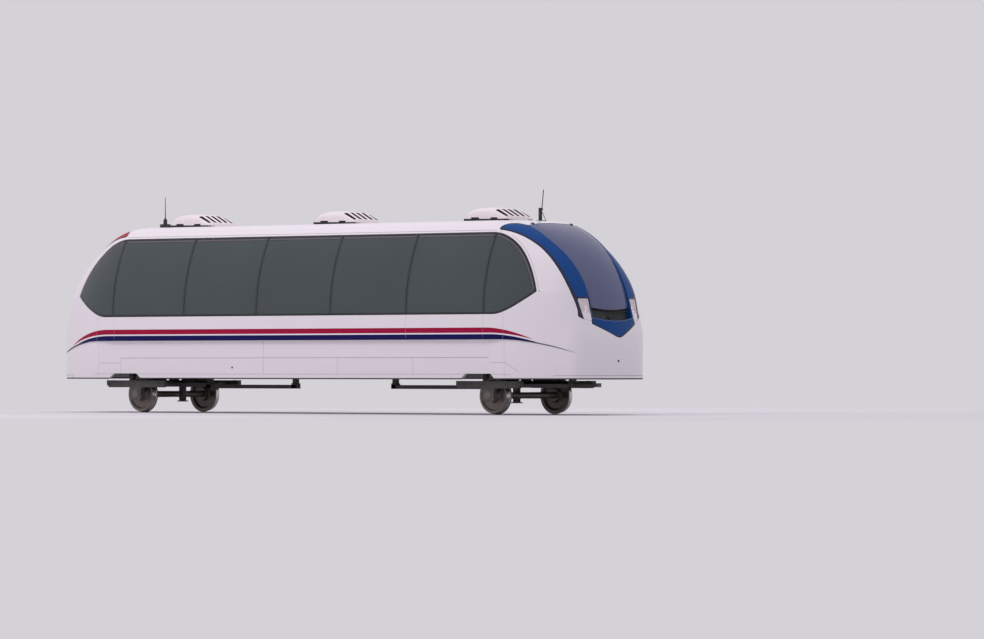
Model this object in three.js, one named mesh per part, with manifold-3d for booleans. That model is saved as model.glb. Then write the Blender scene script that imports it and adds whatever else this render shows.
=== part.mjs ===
// A light rail people mover driven by air pressure: one car, 13.2 m long, on two single-axle trucks.
// Millimetres. +X points to the front (blue mask), +Y to the left (door side), +Z up.
// The origin lies on the ground, midway between the wheelsets and on the centre plane.
import * as THREE from "three";
import { mergeVertices } from "three/addons/utils/BufferGeometryUtils.js";
import Module from "manifold-3d";

const wasm = await Module();
wasm.setup();

// Body section. Heights in this block are above the lower edge of the skirt.
const SKIRT_HEIGHT = 650; // lower edge of the skirt above the ground
const HALF_WIDTH = 1400;
const SILL = 1140; // lower edge of the side windows, where the wall starts to lean in
const WALL_RADIUS = 3100;
const CANTRAIL_RADIUS = 410;
const CANTRAIL_Y = 682;
const CANTRAIL_Z = 2392;
const CANTRAIL_START = 2583; // where the leaning wall meets the cantrail arc
const WINDOW_TOP = 2575;
const ROOF_JOINT = 2700; // seam between side wall and roof
const ROOF_TOP = CANTRAIL_Z + CANTRAIL_RADIUS;
const WALL_LEVELS = [1090, 1500, 1850, 2150, 2400];
const CANTRAIL_ANGLES = [28, 44, 60, 75]; // degrees up the cantrail arc at which the section has a point
const WALL = 70;
const SEAM = 0.3;

// Nose, the same at both ends
const NOSE = 6600;
const NOSE_FOOT = 600; // the nose is upright below this height
const NOSE_BEND = 850; // top of the bend in the nose, where the straight panel below the glass starts
const NOSE_BEND_RADIUS = 822;
const GLASS_FOOT = 1190;
const GLASS_RADIUS = 2100;
const GLASS_CENTRE_X = 4400;
const GLASS_CENTRE_Z = 750;
const BROW_RADIUS = 1200; // bend from the windscreen into the roof
const BROW_CENTRE_Z = ROOF_TOP - BROW_RADIUS;
const BROW_RISE = (BROW_CENTRE_Z - GLASS_CENTRE_Z) / (GLASS_RADIUS - BROW_RADIUS);
const BROW_CENTRE_X = GLASS_CENTRE_X + (GLASS_RADIUS - BROW_RADIUS) * Math.sqrt(1 - BROW_RISE ** 2);
const TAPER_RADIUS = 3000;
const TAPER_START_LOW = 4700;
const TAPER_START_HIGH = 4400;
const FRONT_LEVELS = [700, 1100, 1700, 2300, 2700]; // heights at which the bend of the nose in plan is given
const FRONT_RADII = [1900, 2500, 2600, 1950, 2400];
const CORNER_LEVELS = [800, 1150, 2000, 2600];
const CORNER_RUNS = [130, 230, 330, 450]; // length of the bend between side and nose at those heights

// Crease between the belt and the recessed skirt
const CREASE = 692;
const CREASE_DROP = 242;
const CREASE_START = 4900;
const CREASE_END = 6355;
const CREASE_LEDGE = 15;
const RECESS = 100;

// Windows, mullions and joints
const PANE_PITCH = 1852;
const MULLIONS = [-2.5, -1.5, -0.5, 0.5, 1.5, 2.5].map((n) => n * PANE_PITCH);
const MULLION_WIDTH = 90;
const MULLION_LAP = 30;
const PANE_GAP = 8;
const GLASS_FACE = 3;
const GLASS_THICKNESS = 10;
const SCREEN_THICKNESS = 20;
const WINDOW_TIP = [5695, 1527];
const COWL_JOINT = 5065; // seam between side wall and nose cowl
const UPPER_JOINT = 4700; // the same seam above the middle of the window
const JOINT_STEP = 2000;
const ROOF_LIP = { half: 900, foot: 2550 }; // the roof reaches down to here between the ends of the masks
const MASK_START = 4600;
const SCREEN_START = 5035;
const LAMP_START = 5500;
const BAY_DEPTH = 45; // wiper bay below the windscreen

// Floor and underframe, heights above the lower edge of the skirt
const FLOOR_TOP = 420;
const FLOOR_THICKNESS = 60;
const DECK_THICKNESS = 30;
const DECK_INSET = 160;
const TRUCK_X = 4405;
const HUMP_HALF = 395;
const HUMP_TOP_HALF = 300;
const HUMP_HEIGHT = 80;
const MEMBERS = [-5500, -3450, -2350, -1250, 0, 1250, 2350, 3450, 5500];
const MEMBER_FOOT = 250;
const MEMBER_WIDTH = 100;
const MEMBER_HALF = 1100;
const BEAM_Y = 500;
const BEAM_WIDTH = 120;
const BEAM_FOOT = 150;
const BEAM_HALF = 5800;
const JACK_PAD = { x: 2900, half: [80, 50], depth: 20 };
const BOLSTER_FOOT = 110;
const BOLSTER_HALF = [280, 720];
const BOLSTER_KEEL_HALF = [200, 400];
const BAR_WIDTH = 120;
const BAR_START = 1190;
const BAR_END = 3510;
const BAR_FOOT = -200;
const BAR_DEPTH = 70;
const TOW_POST = 5500;
const TOW_END = 6150;
const TOW_FOOT = -160;
const TOW_DEPTH = 70;

// Doors, all on the left side
const DOOR_CENTRES = [-PANE_PITCH, PANE_PITCH];
const DOORWAY_HALF = 907;
const DOORWAY_TOP = 2420;
const LEAF_WIDTH = 944;
const LEAF_OFFSET = 85;
const LEAF_THICKNESS = 35;
const LEAF_GLASS_OFFSET = 95;
const LEAF_MEETING_GAP = 3;
const LEAF_FRAME = 100;
const LEAF_LAP = 20;
const HANGER_INSET = 200;
const HANGER_WIDTH = 80;
const DOOR_TRACK = { foot: 2446, depth: 54, half: 3750, y: [960, 1060] };
const HANGER_Y = [985, 1015];

// Trucks, heights above the ground
const TREAD_RADIUS = 320;
const FLANGE_RADIUS = 345;
const AXLE_RADIUS = 65;
const JOURNAL_RADIUS = 45;
const JOURNAL_BORE = 45.8;
const BACK_TO_BACK_HALF = 765;
const FLANGE_WIDTH = 35;
const TREAD_WIDTH = 95;
const SIDE_FRAME_Y = 980;
const SIDE_FRAME_WIDTH = 100;
const SIDE_FRAME_DEPTH = 130;
const TRUCK_HALF = 760;
const TRUCK_FRAME_TOP = 600;
const TRUCK_DECK = { half: [510, 700], depth: 60 };
const TRANSOM_X = 450;
const TRANSOM_WIDTH = 120;
const TRANSOM_DEPTH = 120;
const JOURNAL_BOX_HALF = 130;
const JOURNAL_BOX_DROP = 110;
const SPRINGS = [
  { y: -430, radius: 180 },
  { y: 0, radius: 100 },
  { y: 430, radius: 180 },
];
const SPRING_SINK = 10;
const MAST_FLANGE_Z = 200;
const MAST_OFFSET = 225;
const MAST_HALF = 75;
const AXLE_HALF = 1025;
const SEAT_HALF = 910;
const WHEEL_SIDES = 24;
const HALF_TURN = Math.PI / WHEEL_SIDES; // turns a wheel so that a flat of its outline lies on the ground
const AXLE_Z = FLANGE_RADIUS * Math.cos(HALF_TURN);

// Inside: grab rails, and the benches in side view as x and height above the floor
const RAIL_RADIUS = 17;
const RAIL_SIDES = 10;
const RAIL_Y = 520;
const RAIL_Z = 2330;
const RAIL_HALF = 3100;
const RAIL_HANGER = 3000;
const BENCH_HALF = 800;
const BENCH_PROFILE = [
  [4980, 0],
  [5380, 0],
  [5500, 880],
  [5430, 880],
  [5360, 450],
  [4950, 450],
  [4950, 390],
];

// Roof units: side view as distance behind the front end and height, and half width and height
const AIR_UNITS = [
  { name: "air_unit_rear", x: -3650 },
  { name: "air_unit_middle", x: 50 },
  { name: "air_unit_front", x: 3750 },
];
const UNIT_LENGTH = 1000;
const UNIT_GRILLE_FOOT = [0, 72];
const UNIT_GRILLE_TOP = [265, 212];
const UNIT_PROFILE = [
  [0, 0],
  UNIT_GRILLE_FOOT,
  UNIT_GRILLE_TOP,
  [360, 238],
  [500, 245],
  [680, 234],
  [810, 205],
  [900, 155],
  [970, 80],
  [1000, 0],
];
const UNIT_SECTION = [
  [350, 0],
  [346, 100],
  [328, 170],
  [285, 215],
  [200, 245],
];
const SLOT_PITCH = 135;
const SLOT_WIDTH = 50;
const SLOT_DEPTH = 22;
const SLOT_ENDS = [0.12, 0.92]; // shares of the way up the grille
const NOTCHES = [300, 750]; // drain notches in the lower edge, distance behind the front end
const NOTCH = { length: 180, height: 28, depth: 40 };
const AERIALS = [
  { name: "aerial_front", x: 4623, y: 150, foot: [70, 50, 12], post: [25, 235], whip: 515 },
  { name: "aerial_rear", x: -4640, y: 0, foot: [90, 60, 90], post: [28, 195], whip: 590 },
];
const WHIP_RADIUS = 9;

const MATERIALS = {
  white: { color: 0xe9e6ea, roughness: 0.35, metalness: 0 },
  blue: { color: 0x1d3f86, roughness: 0.3, metalness: 0 },
  red: { color: 0xb01f3f, roughness: 0.3, metalness: 0 },
  tinted: { color: 0x2b3a3e, roughness: 0.08, metalness: 0 },
  screen: { color: 0x58637a, roughness: 0.08, metalness: 0 },
  lens: { color: 0xf3ece4, roughness: 0.1, metalness: 0 },
  black: { color: 0x1b1b1e, roughness: 0.7, metalness: 0.2 },
  steel: { color: 0x6d6a68, roughness: 0.45, metalness: 0.9 },
  floor: { color: 0x55585c, roughness: 0.8, metalness: 0 },
  seat: { color: 0x2f4a7c, roughness: 0.6, metalness: 0 },
  rail: { color: 0xd9b13a, roughness: 0.4, metalness: 0.3 },
};

// Reach of the blocks and prisms that cut the body, well outside it
const FAR_X = 7000;
const FAR_Y = 2000;
const FAR_Z = 4000;

const car = new THREE.Group();
const high = (z) => z + SKIRT_HEIGHT;

function material(name) {
  return new THREE.MeshStandardMaterial(MATERIALS[name]);
}

function toSolid(geometry) {
  const bare = geometry.clone();
  bare.deleteAttribute("normal");
  bare.deleteAttribute("uv");
  const merged = mergeVertices(bare, 1e-3);
  return new wasm.Manifold(
    new wasm.Mesh({
      numProp: 3,
      vertProperties: new Float32Array(merged.attributes.position.array),
      triVerts: new Uint32Array(merged.index.array),
    }),
  );
}

function add(name, solid, finish) {
  const cut = solid.getMesh();
  const geometry = new THREE.BufferGeometry();
  geometry.setAttribute("position", new THREE.BufferAttribute(cut.vertProperties, 3));
  geometry.setIndex(new THREE.BufferAttribute(cut.triVerts, 1));
  geometry.computeVertexNormals();
  const mesh = new THREE.Mesh(geometry, material(finish));
  mesh.name = name;
  car.add(mesh);
}

// Box between two corners
function block(low, top) {
  const size = top.map((v, i) => v - low[i]);
  const box = new THREE.BoxGeometry(...size);
  box.translate(...top.map((v, i) => (v + low[i]) / 2));
  return toSolid(box);
}

// Box around a point in plan, between two heights
function column([x, y], [halfX, halfY], low, top) {
  return block([x - halfX, y - halfY, low], [x + halfX, y + halfY, top]);
}

function extrude(outline, depth) {
  const shape = new THREE.Shape(outline.map(([a, b]) => new THREE.Vector2(a, b)));
  return new THREE.ExtrudeGeometry(shape, { depth, bevelEnabled: false });
}

// Prism of an outline in the X-Z plane, from y0 to y1
function sidePrism(outline, y0, y1) {
  const solid = extrude(outline, y1 - y0);
  solid.rotateX(Math.PI / 2);
  solid.translate(0, y1, 0);
  return toSolid(solid);
}

// Prism of an outline in the Y-Z plane, from x0 to x1
function frontPrism(outline, x0, x1) {
  const solid = extrude(outline, x1 - x0);
  solid.applyMatrix4(new THREE.Matrix4().set(0, 0, 1, x0, 1, 0, 0, 0, 0, 1, 0, 0, 0, 0, 0, 1));
  return toSolid(solid);
}

function cylinder(radius, length, axis, centre, sides = 24) {
  const round = new THREE.CylinderGeometry(radius, radius, length, sides);
  if (axis === "x") round.rotateZ(Math.PI / 2);
  if (axis === "z") round.rotateX(Math.PI / 2);
  round.translate(...centre);
  return toSolid(round);
}

function lathe(profile, centre) {
  const points = profile.map(([r, y]) => new THREE.Vector2(r, y));
  const solid = new THREE.LatheGeometry(points, WHEEL_SIDES);
  solid.rotateY(HALF_TURN);
  solid.translate(...centre);
  return toSolid(solid);
}

function mirrorX(outline) {
  return outline.map(([x, z]) => [-x, z]).reverse();
}

function mirrorY(half) {
  return half.filter(([y]) => y > 0).map(([y, z]) => [-y, z]).reverse();
}

function join(solids) {
  return solids.reduce((all, one) => all.add(one));
}

function curve(points, count) {
  const [a, b, c, d] = points.map(([x, y]) => new THREE.Vector2(x, y));
  const bend = d ? new THREE.CubicBezierCurve(a, b, c, d) : new THREE.QuadraticBezierCurve(a, b, c);
  return bend.getPoints(count).map((p) => [p.x, p.y]);
}

// Outline with every edge moved outwards by an amount
function grow(outline, amount) {
  const area = outline.reduce((sum, [x, y], i) => {
    const [nextX, nextY] = outline[(i + 1) % outline.length];
    return sum + x * nextY - nextX * y;
  }, 0);
  const normals = outline.map(([x, y], i) => {
    const [nextX, nextY] = outline[(i + 1) % outline.length];
    const length = Math.hypot(nextX - x, nextY - y) * Math.sign(area);
    return [(nextY - y) / length, (x - nextX) / length];
  });
  return outline.map(([x, y], i) => {
    const [ax, ay] = normals.at(i - 1);
    const [bx, by] = normals[i];
    const reach = amount / (1 + ax * bx + ay * by);
    return [x + (ax + bx) * reach, y + (ay + by) * reach];
  });
}

function between(x, xs, ys) {
  if (x <= xs[0]) return ys[0];
  for (let i = 1; i < xs.length; i++) {
    const share = (x - xs[i - 1]) / (xs[i] - xs[i - 1]);
    if (x <= xs[i]) return ys[i - 1] + (ys[i] - ys[i - 1]) * share;
  }
  return ys.at(-1);
}

// Half width of the section at a height, set in from the skin by an inset
function halfWidth(z, inset) {
  if (z <= SILL) return HALF_WIDTH - inset;
  const onWall = HALF_WIDTH - WALL_RADIUS + Math.sqrt((WALL_RADIUS - inset) ** 2 - (z - SILL) ** 2);
  const rise = z - CANTRAIL_Z;
  const radius = CANTRAIL_RADIUS - inset;
  if (rise <= radius * (CANTRAIL_START - SILL) / WALL_RADIUS) return onWall;
  return CANTRAIL_Y + Math.sqrt(Math.max(0, radius ** 2 - rise ** 2));
}

// Distance of the nose from the middle of the car at a height
function noseReach(z, inset) {
  if (z >= GLASS_CENTRE_Z + (GLASS_RADIUS - inset) * BROW_RISE) {
    return BROW_CENTRE_X + Math.sqrt((BROW_RADIUS - inset) ** 2 - (z - BROW_CENTRE_Z) ** 2);
  }
  if (z >= GLASS_FOOT) {
    return GLASS_CENTRE_X + Math.sqrt((GLASS_RADIUS - inset) ** 2 - (z - GLASS_CENTRE_Z) ** 2);
  }
  const slope = Math.tan(Math.asin((NOSE_BEND - NOSE_FOOT) / NOSE_BEND_RADIUS));
  const bend = Math.min(Math.max(z, NOSE_FOOT), NOSE_BEND) - NOSE_FOOT;
  const drop = NOSE_BEND_RADIUS - Math.sqrt(NOSE_BEND_RADIUS ** 2 - bend ** 2);
  return NOSE - inset - drop - Math.max(0, z - NOSE_BEND) * slope;
}

function creaseHeight(x) {
  const share = (Math.abs(x) - CREASE_START) / (CREASE_END - CREASE_START);
  return CREASE - CREASE_DROP * Math.min(1, Math.max(0, share)) ** 2;
}

function recessAt(x) {
  return between(Math.abs(x), [TAPER_START_LOW, 5060, 6150, 6450], [RECESS, 38, 22, 0]);
}

// Points of a quarter of the plan outline, from the straight side to the nose
function quarterPlan(z, inset) {
  const width = halfWidth(z, inset);
  const nose = noseReach(z, inset);
  const start = between(z, [1500, 2300], [TAPER_START_LOW, TAPER_START_HIGH]);
  const frontRadius = between(z, FRONT_LEVELS, FRONT_RADII);
  const run = between(z, CORNER_LEVELS, CORNER_RUNS);
  const side = (x) => width - Math.max(0, x - start) ** 2 / (2 * TAPER_RADIUS);
  const front = (y) => nose - y ** 2 / (2 * frontRadius);
  let cornerX = nose;
  for (let i = 0; i < 40; i++) cornerX = front(side(cornerX));
  const cornerY = side(cornerX);
  const sideEnd = cornerX - run;
  const frontEnd = cornerY - run;
  const first = Math.min(start, sideEnd - 100);
  const points = [];
  for (const share of [0, 0.3, 0.55, 0.78, 1]) {
    const x = first + (sideEnd - first) * share;
    points.push([x, side(x)]);
  }
  const bend = curve([points.at(-1), [cornerX, cornerY], [front(frontEnd), frontEnd]], 3);
  points.push(bend[1], bend[2]);
  for (const share of [1, 0.6, 0.3, 0]) {
    const y = frontEnd * share;
    points.push([front(y), y]);
  }
  return points;
}

// Closed plan ring. height is a number or a function of x. recessed rings follow the skirt.
function ring(z, inset, height = z, recessed = false) {
  const quarter = quarterPlan(z, inset).map(([x, y]) => [x, y - (recessed && y > 0 ? recessAt(x) : 0)]);
  const rightFront = quarter.map(([x, y]) => [x, -y]);
  const leftFront = quarter.slice(0, -1).reverse();
  const leftRear = quarter.map(([x, y]) => [-x, y]);
  const rightRear = quarter.slice(0, -1).reverse().map(([x, y]) => [-x, -y]);
  const at = (x) => high(typeof height === "function" ? height(x) : height);
  return [...rightFront, ...leftFront, ...leftRear, ...rightRear].map(([x, y]) => [x, y, at(x)]);
}

// Solid through a stack of rings, closed by a fan at the bottom and the top
function stack(rings) {
  const count = rings[0].length;
  const points = rings.flat();
  const triangles = [];
  for (let level = 0; level + 1 < rings.length; level++) {
    for (let i = 0; i < count; i++) {
      const next = (i + 1) % count;
      const a = level * count + i;
      const b = level * count + next;
      triangles.push(a, b, b + count, a, b + count, a + count);
    }
  }
  const centre = (one) => one.reduce((sum, p) => sum.map((v, i) => v + p[i] / count), [0, 0, 0]);
  const foot = points.push(centre(rings[0])) - 1;
  const top = points.push(centre(rings.at(-1))) - 1;
  const last = (rings.length - 1) * count;
  for (let i = 0; i < count; i++) {
    const next = (i + 1) % count;
    triangles.push(foot, next, i);
    triangles.push(top, last + i, last + next);
  }
  const mesh = new wasm.Mesh({
    numProp: 3,
    vertProperties: new Float32Array(points.flat()),
    triVerts: new Uint32Array(triangles),
  });
  return new wasm.Manifold(mesh);
}

// Whole body shape, set in from the skin. An open one reaches below the skirt.
function bodyShape(inset, open) {
  const foot = open ? -100 : 0;
  const lift = open ? inset : 0;
  const rings = [
    ring(0, inset, foot, true),
    ring(500, inset, (x) => creaseHeight(x) - CREASE_LEDGE + lift, true),
    ring(500, inset, (x) => creaseHeight(x) + lift),
  ];
  for (const z of WALL_LEVELS) rings.push(ring(z, inset));
  const radius = CANTRAIL_RADIUS - inset;
  for (const angle of CANTRAIL_ANGLES) {
    rings.push(ring(CANTRAIL_Z + radius * Math.sin(THREE.MathUtils.degToRad(angle)), inset));
  }
  rings.push(ring(CANTRAIL_Z + radius - 1, inset));
  return stack(rings);
}

const skin = bodyShape(0, false);
const cavity = bodyShape(WALL, true);
const shell = skin.subtract(cavity);
const glassLayer = bodyShape(GLASS_FACE, false).subtract(bodyShape(GLASS_FACE + GLASS_THICKNESS, false));
const postLayer = bodyShape(GLASS_FACE + GLASS_THICKNESS + SEAM, false).subtract(cavity);
const screenLayer = skin.subtract(bodyShape(SCREEN_THICKNESS, false));
const behindBay = bodyShape(BAY_DEPTH, false);

// Outline of the side window band in side view: sill, pointed ends, rounded upper corners
function windowOutline(margin) {
  const [tipX, tipZ] = WINDOW_TIP;
  const sill = SILL + margin;
  const top = WINDOW_TOP - margin;
  const tip = [tipX - margin * 1.5, tipZ];
  const lower = curve([[4850, sill], [5130, sill], tip], 5);
  const upper = curve([tip, [5500 - margin, 2150], [5030, top], [4550, top]], 9);
  const front = [...lower, ...upper.slice(1)];
  return [...front, ...mirrorX(front)].map(([x, z]) => [x, high(z)]);
}

const windows = sidePrism(windowOutline(0), -FAR_Y, FAR_Y);

// Outlines of the mask: its outer edge in side view, its end on the roof in plan, its foot in front view
const MASK_SIDE = [
  ...curve([[6357, 900], [6359, 1611], [5569, 2601], [MASK_START, 2630]], 12),
  [MASK_START, 3400],
  [FAR_X, 3400],
  [FAR_X, 0],
  [6500, 0],
];
const MASK_PLAN = [
  [MASK_START, 1600],
  ...curve([[4630, 1060], [4680, 800], [4860, 700], [5035, 655]], 6),
  [5045, 0],
];
const MASK_FOOT = [
  [0, 714],
  [60, 722],
  [120, 748],
  [588, 955],
  [571, 1003],
  [728, 1034],
  [832, 1078],
  [1600, 1110],
  [1600, 3300],
];

// Middle of the mask, which goes through the whole wall: half width, start along the car and heights
const MASK_CORE = { half: 600, start: 6000, z: [900, 1500] };

// Openings in the mask in front view, one half, from the centre plane outwards
const SCREEN_FOOT = [[0, 1205], [534, 1250]];
const SCREEN_SIDE = [
  [540, 1470],
  [546, 1742],
  [572, 2011],
  [612, 2260],
  [654, 2435],
  [666, 2548],
  [664, 2662],
  [664, 3300],
];
const SCREEN_HALF = [...SCREEN_FOOT, ...SCREEN_SIDE];
const BAY_HALF = [
  [0, 1007],
  [280, 1022],
  [545, 1065],
  [540, 1200],
  ...SCREEN_FOOT.toReversed(),
];
const LAMP_HALF = [
  [571, 1003],
  [728, 1034],
  [780, 1400],
  [560, 1400],
];

// Outline in front view made of a half and its mirror image
function wholeOutline(half) {
  return [...half, ...mirrorY(half)].map(([y, z]) => [y, high(z)]);
}

// Prism of a front view outline at one end, from a distance along the car
function endPrism(outline, way, from) {
  return way > 0 ? frontPrism(outline, from, FAR_X) : frontPrism(outline, -FAR_X, -from);
}

// Everything beyond x at one end, between two heights
function endBlock(way, x, z0, z1) {
  const [low, top] = way > 0 ? [x, FAR_X] : [-FAR_X, -x];
  return block([low, -FAR_Y, z0], [top, FAR_Y, z1]);
}

// Everything ahead of the upper end of a mask, as its plan outline shows it
function maskPlan(way, margin) {
  const half = MASK_PLAN.filter(([, y]) => y > 0).map(([x, y]) => [x, -y]).reverse();
  const plan = grow([...MASK_PLAN, ...half, [FAR_X, -1600], [FAR_X, 1600]], margin);
  return toSolid(extrude(way > 0 ? plan : mirrorX(plan), FAR_Z));
}

// Front edge of the roof between the ends of a mask, below the seam between roof and cowl
function roofLip(way, margin) {
  const half = ROOF_LIP.half + margin;
  const low = [UPPER_JOINT + SEAM - margin, -half, high(ROOF_LIP.foot) - margin];
  const lip = block(low, [SCREEN_START, half, high(ROOF_JOINT) + 1]);
  return (way > 0 ? lip : lip.mirror([1, 0, 0])).subtract(maskPlan(way, 0));
}

// Everything within the outlines of a mask at one end, its openings included
function maskShape(way, margin) {
  const side = grow(MASK_SIDE.map(([x, z]) => [x, high(z)]), margin);
  const foot = grow(wholeOutline(MASK_FOOT), margin);
  const coreHalf = MASK_CORE.half + margin;
  const [coreFoot, coreTop] = MASK_CORE.z.map(high);
  const coreEnd = block([MASK_CORE.start, -coreHalf, coreFoot], [FAR_X, coreHalf, coreTop]);
  return sidePrism(way > 0 ? side : mirrorX(side), -FAR_Y, FAR_Y)
    .add(way > 0 ? coreEnd : coreEnd.mirror([1, 0, 0]))
    .intersect(endPrism(foot, way, MASK_START))
    .intersect(maskPlan(way, margin));
}

const ENDS = [
  { end: "front", way: 1, mask: "blue" },
  { end: "rear", way: -1, mask: "red" },
];
const maskHoles = join(ENDS.map(({ way }) => maskShape(way, SEAM)));
const screenOutline = wholeOutline(SCREEN_HALF);
const screenHoles = join(ENDS.map(({ way }) => (
  endPrism(grow(screenOutline, SEAM), way, SCREEN_START - SEAM)
)));

// Nose cowls, masks, windscreens and lamps
for (const { end, way, mask } of ENDS) {
  const lampHoles = [];
  for (const [side, sign] of [["left", 1], ["right", -1]]) {
    const outline = LAMP_HALF.map(([y, z]) => [sign * y, high(z)]);
    add(`lamp_${end}_${side}`, shell.intersect(endPrism(outline, way, LAMP_START)), "lens");
    lampHoles.push(endPrism(grow(outline, SEAM), way, LAMP_START));
  }
  const holes = join([...lampHoles, screenHoles, windows]);
  const lower = endBlock(way, COWL_JOINT + SEAM, 0, high(ROOF_JOINT) - SEAM);
  const upper = endBlock(way, UPPER_JOINT + SEAM, high(JOINT_STEP) + SEAM, high(ROOF_JOINT) - SEAM);
  const cowl = shell.intersect(lower.add(upper))
    .subtract(join([maskHoles, holes, roofLip(way, SEAM)]));
  add(`cowl_${end}`, cowl, "white");
  const bay = endPrism(wholeOutline(BAY_HALF), way, SCREEN_START).subtract(behindBay);
  const band = shell.intersect(maskShape(way, 0)).subtract(holes).subtract(bay);
  add(`mask_${end}`, band, mask);
  add(`windscreen_${end}`, screenLayer.intersect(endPrism(screenOutline, way, SCREEN_START)), "screen");
}

// Side walls, roof and glazing
function post(x) {
  const half = MULLION_WIDTH / 2;
  const low = [x - half, -FAR_Y, high(SILL) - MULLION_LAP];
  const top = [x + half, FAR_Y, high(WINDOW_TOP) + MULLION_LAP];
  return postLayer.intersect(block(low, top));
}

// Cut over a truck in the lower edge of the skirts
function hump(x) {
  const outline = [
    [x - HUMP_HALF, SKIRT_HEIGHT - 5],
    [x + HUMP_HALF, SKIRT_HEIGHT - 5],
    [x + HUMP_TOP_HALF, high(HUMP_HEIGHT)],
    [x - HUMP_TOP_HALF, high(HUMP_HEIGHT)],
  ];
  return sidePrism(outline, -FAR_Y, FAR_Y);
}

// Room of the side wall between two distances from the centre plane
function wallRoom(low, top) {
  return block([-COWL_JOINT, low, 0], [COWL_JOINT, top, high(JOINT_STEP)])
    .add(block([-UPPER_JOINT, low, 0], [UPPER_JOINT, top, high(ROOF_JOINT)]));
}

const doorBays = join(DOOR_CENTRES.map((x) => column([x, FAR_Y / 2], [PANE_PITCH / 2, FAR_Y / 2], 0, FAR_Z)));
const doorways = join(DOOR_CENTRES.map((x) => (
  column([x, FAR_Y / 2], [DOORWAY_HALF, FAR_Y / 2], high(FLOOR_TOP), high(DOORWAY_TOP))
)));
const doorTrack = block(
  [-DOOR_TRACK.half, DOOR_TRACK.y[0], high(DOOR_TRACK.foot)],
  [DOOR_TRACK.half, DOOR_TRACK.y[1], high(DOOR_TRACK.foot + DOOR_TRACK.depth)],
);
const wallCuts = join([-TRUCK_X, TRUCK_X].map(hump)).add(maskHoles);
const posts = join(MULLIONS.map(post));
const rightWall = shell.subtract(windows).add(posts).intersect(wallRoom(-FAR_Y, -SEAM)).subtract(wallCuts);
add("side_right", rightWall, "white");
const leftWall = shell.subtract(windows.subtract(doorBays)).add(posts)
  .intersect(wallRoom(SEAM, FAR_Y))
  .add(doorTrack)
  .subtract(doorways)
  .subtract(wallCuts);
add("side_left", leftWall, "white");
const roofRoom = join([
  block([-FAR_X, -FAR_Y, high(ROOF_JOINT) + SEAM], [FAR_X, FAR_Y, FAR_Z]),
  ...ENDS.map(({ way }) => roofLip(way, 0)),
]);
add("roof", shell.intersect(roofRoom).subtract(maskHoles).subtract(screenHoles), "white");

const glazing = glassLayer.intersect(sidePrism(windowOutline(SEAM), -FAR_Y, FAR_Y));
const paneEdges = [-FAR_X, ...MULLIONS, FAR_X];
for (const [side, sign] of [["right", -1], ["left", 1]]) {
  for (let i = 0; i + 1 < paneEdges.length; i++) {
    const middle = (paneEdges[i] + paneEdges[i + 1]) / 2;
    if (sign > 0 && DOOR_CENTRES.some((x) => Math.abs(x - middle) < 1)) continue;
    const low = [paneEdges[i] + PANE_GAP / 2, Math.min(0, sign * FAR_Y), 0];
    const top = [paneEdges[i + 1] - PANE_GAP / 2, Math.max(0, sign * FAR_Y), FAR_Z];
    add(`pane_${side}_${i + 1}`, glazing.intersect(block(low, top)), "tinted");
  }
}

// Sliding door leaves, hung inside the wall from the track
const leafLayer = bodyShape(LEAF_OFFSET, true).subtract(bodyShape(LEAF_OFFSET + LEAF_THICKNESS, true));
const leafGlassLayer = bodyShape(LEAF_GLASS_OFFSET, true)
  .subtract(bodyShape(LEAF_GLASS_OFFSET + GLASS_THICKNESS, true));
for (const [door, centre] of [["rear", DOOR_CENTRES[0]], ["front", DOOR_CENTRES[1]]]) {
  for (const [leaf, way] of [["rear", -1], ["front", 1]]) {
    const near = centre + way * LEAF_MEETING_GAP;
    const far = centre + way * (LEAF_MEETING_GAP + LEAF_WIDTH);
    const [x0, x1] = [Math.min(near, far), Math.max(near, far)];
    const glassLow = [x0 + LEAF_FRAME, 0, high(SILL)];
    const glassTop = [x1 - LEAF_FRAME, FAR_Y, high(DOORWAY_TOP) - LEAF_FRAME];
    const hangers = [x0 + HANGER_INSET, x1 - HANGER_INSET].map((x) => block(
      [x - HANGER_WIDTH / 2, HANGER_Y[0], high(DOORWAY_TOP)],
      [x + HANGER_WIDTH / 2, HANGER_Y[1], high(DOOR_TRACK.foot) - SEAM],
    ));
    const leafRoom = block([x0, 0, high(FLOOR_TOP) + 10], [x1, FAR_Y, high(DOORWAY_TOP) + LEAF_LAP]);
    const panel = leafLayer.intersect(leafRoom).subtract(block(glassLow, glassTop));
    add(`door_${door}_leaf_${leaf}`, join([panel, ...hangers]), "white");
    const glassRoom = block(glassLow.map((v) => v + SEAM), glassTop.map((v) => v - SEAM));
    add(`door_${door}_glass_${leaf}`, leafGlassLayer.intersect(glassRoom), "tinted");
  }
}

// Floor, and below it the underframe: a deck on cross members, two long beams and the parts hung from them
function plate(inset, low, top) {
  return stack([ring(0, inset, low, true), ring(0, inset, top, true)]);
}

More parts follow.
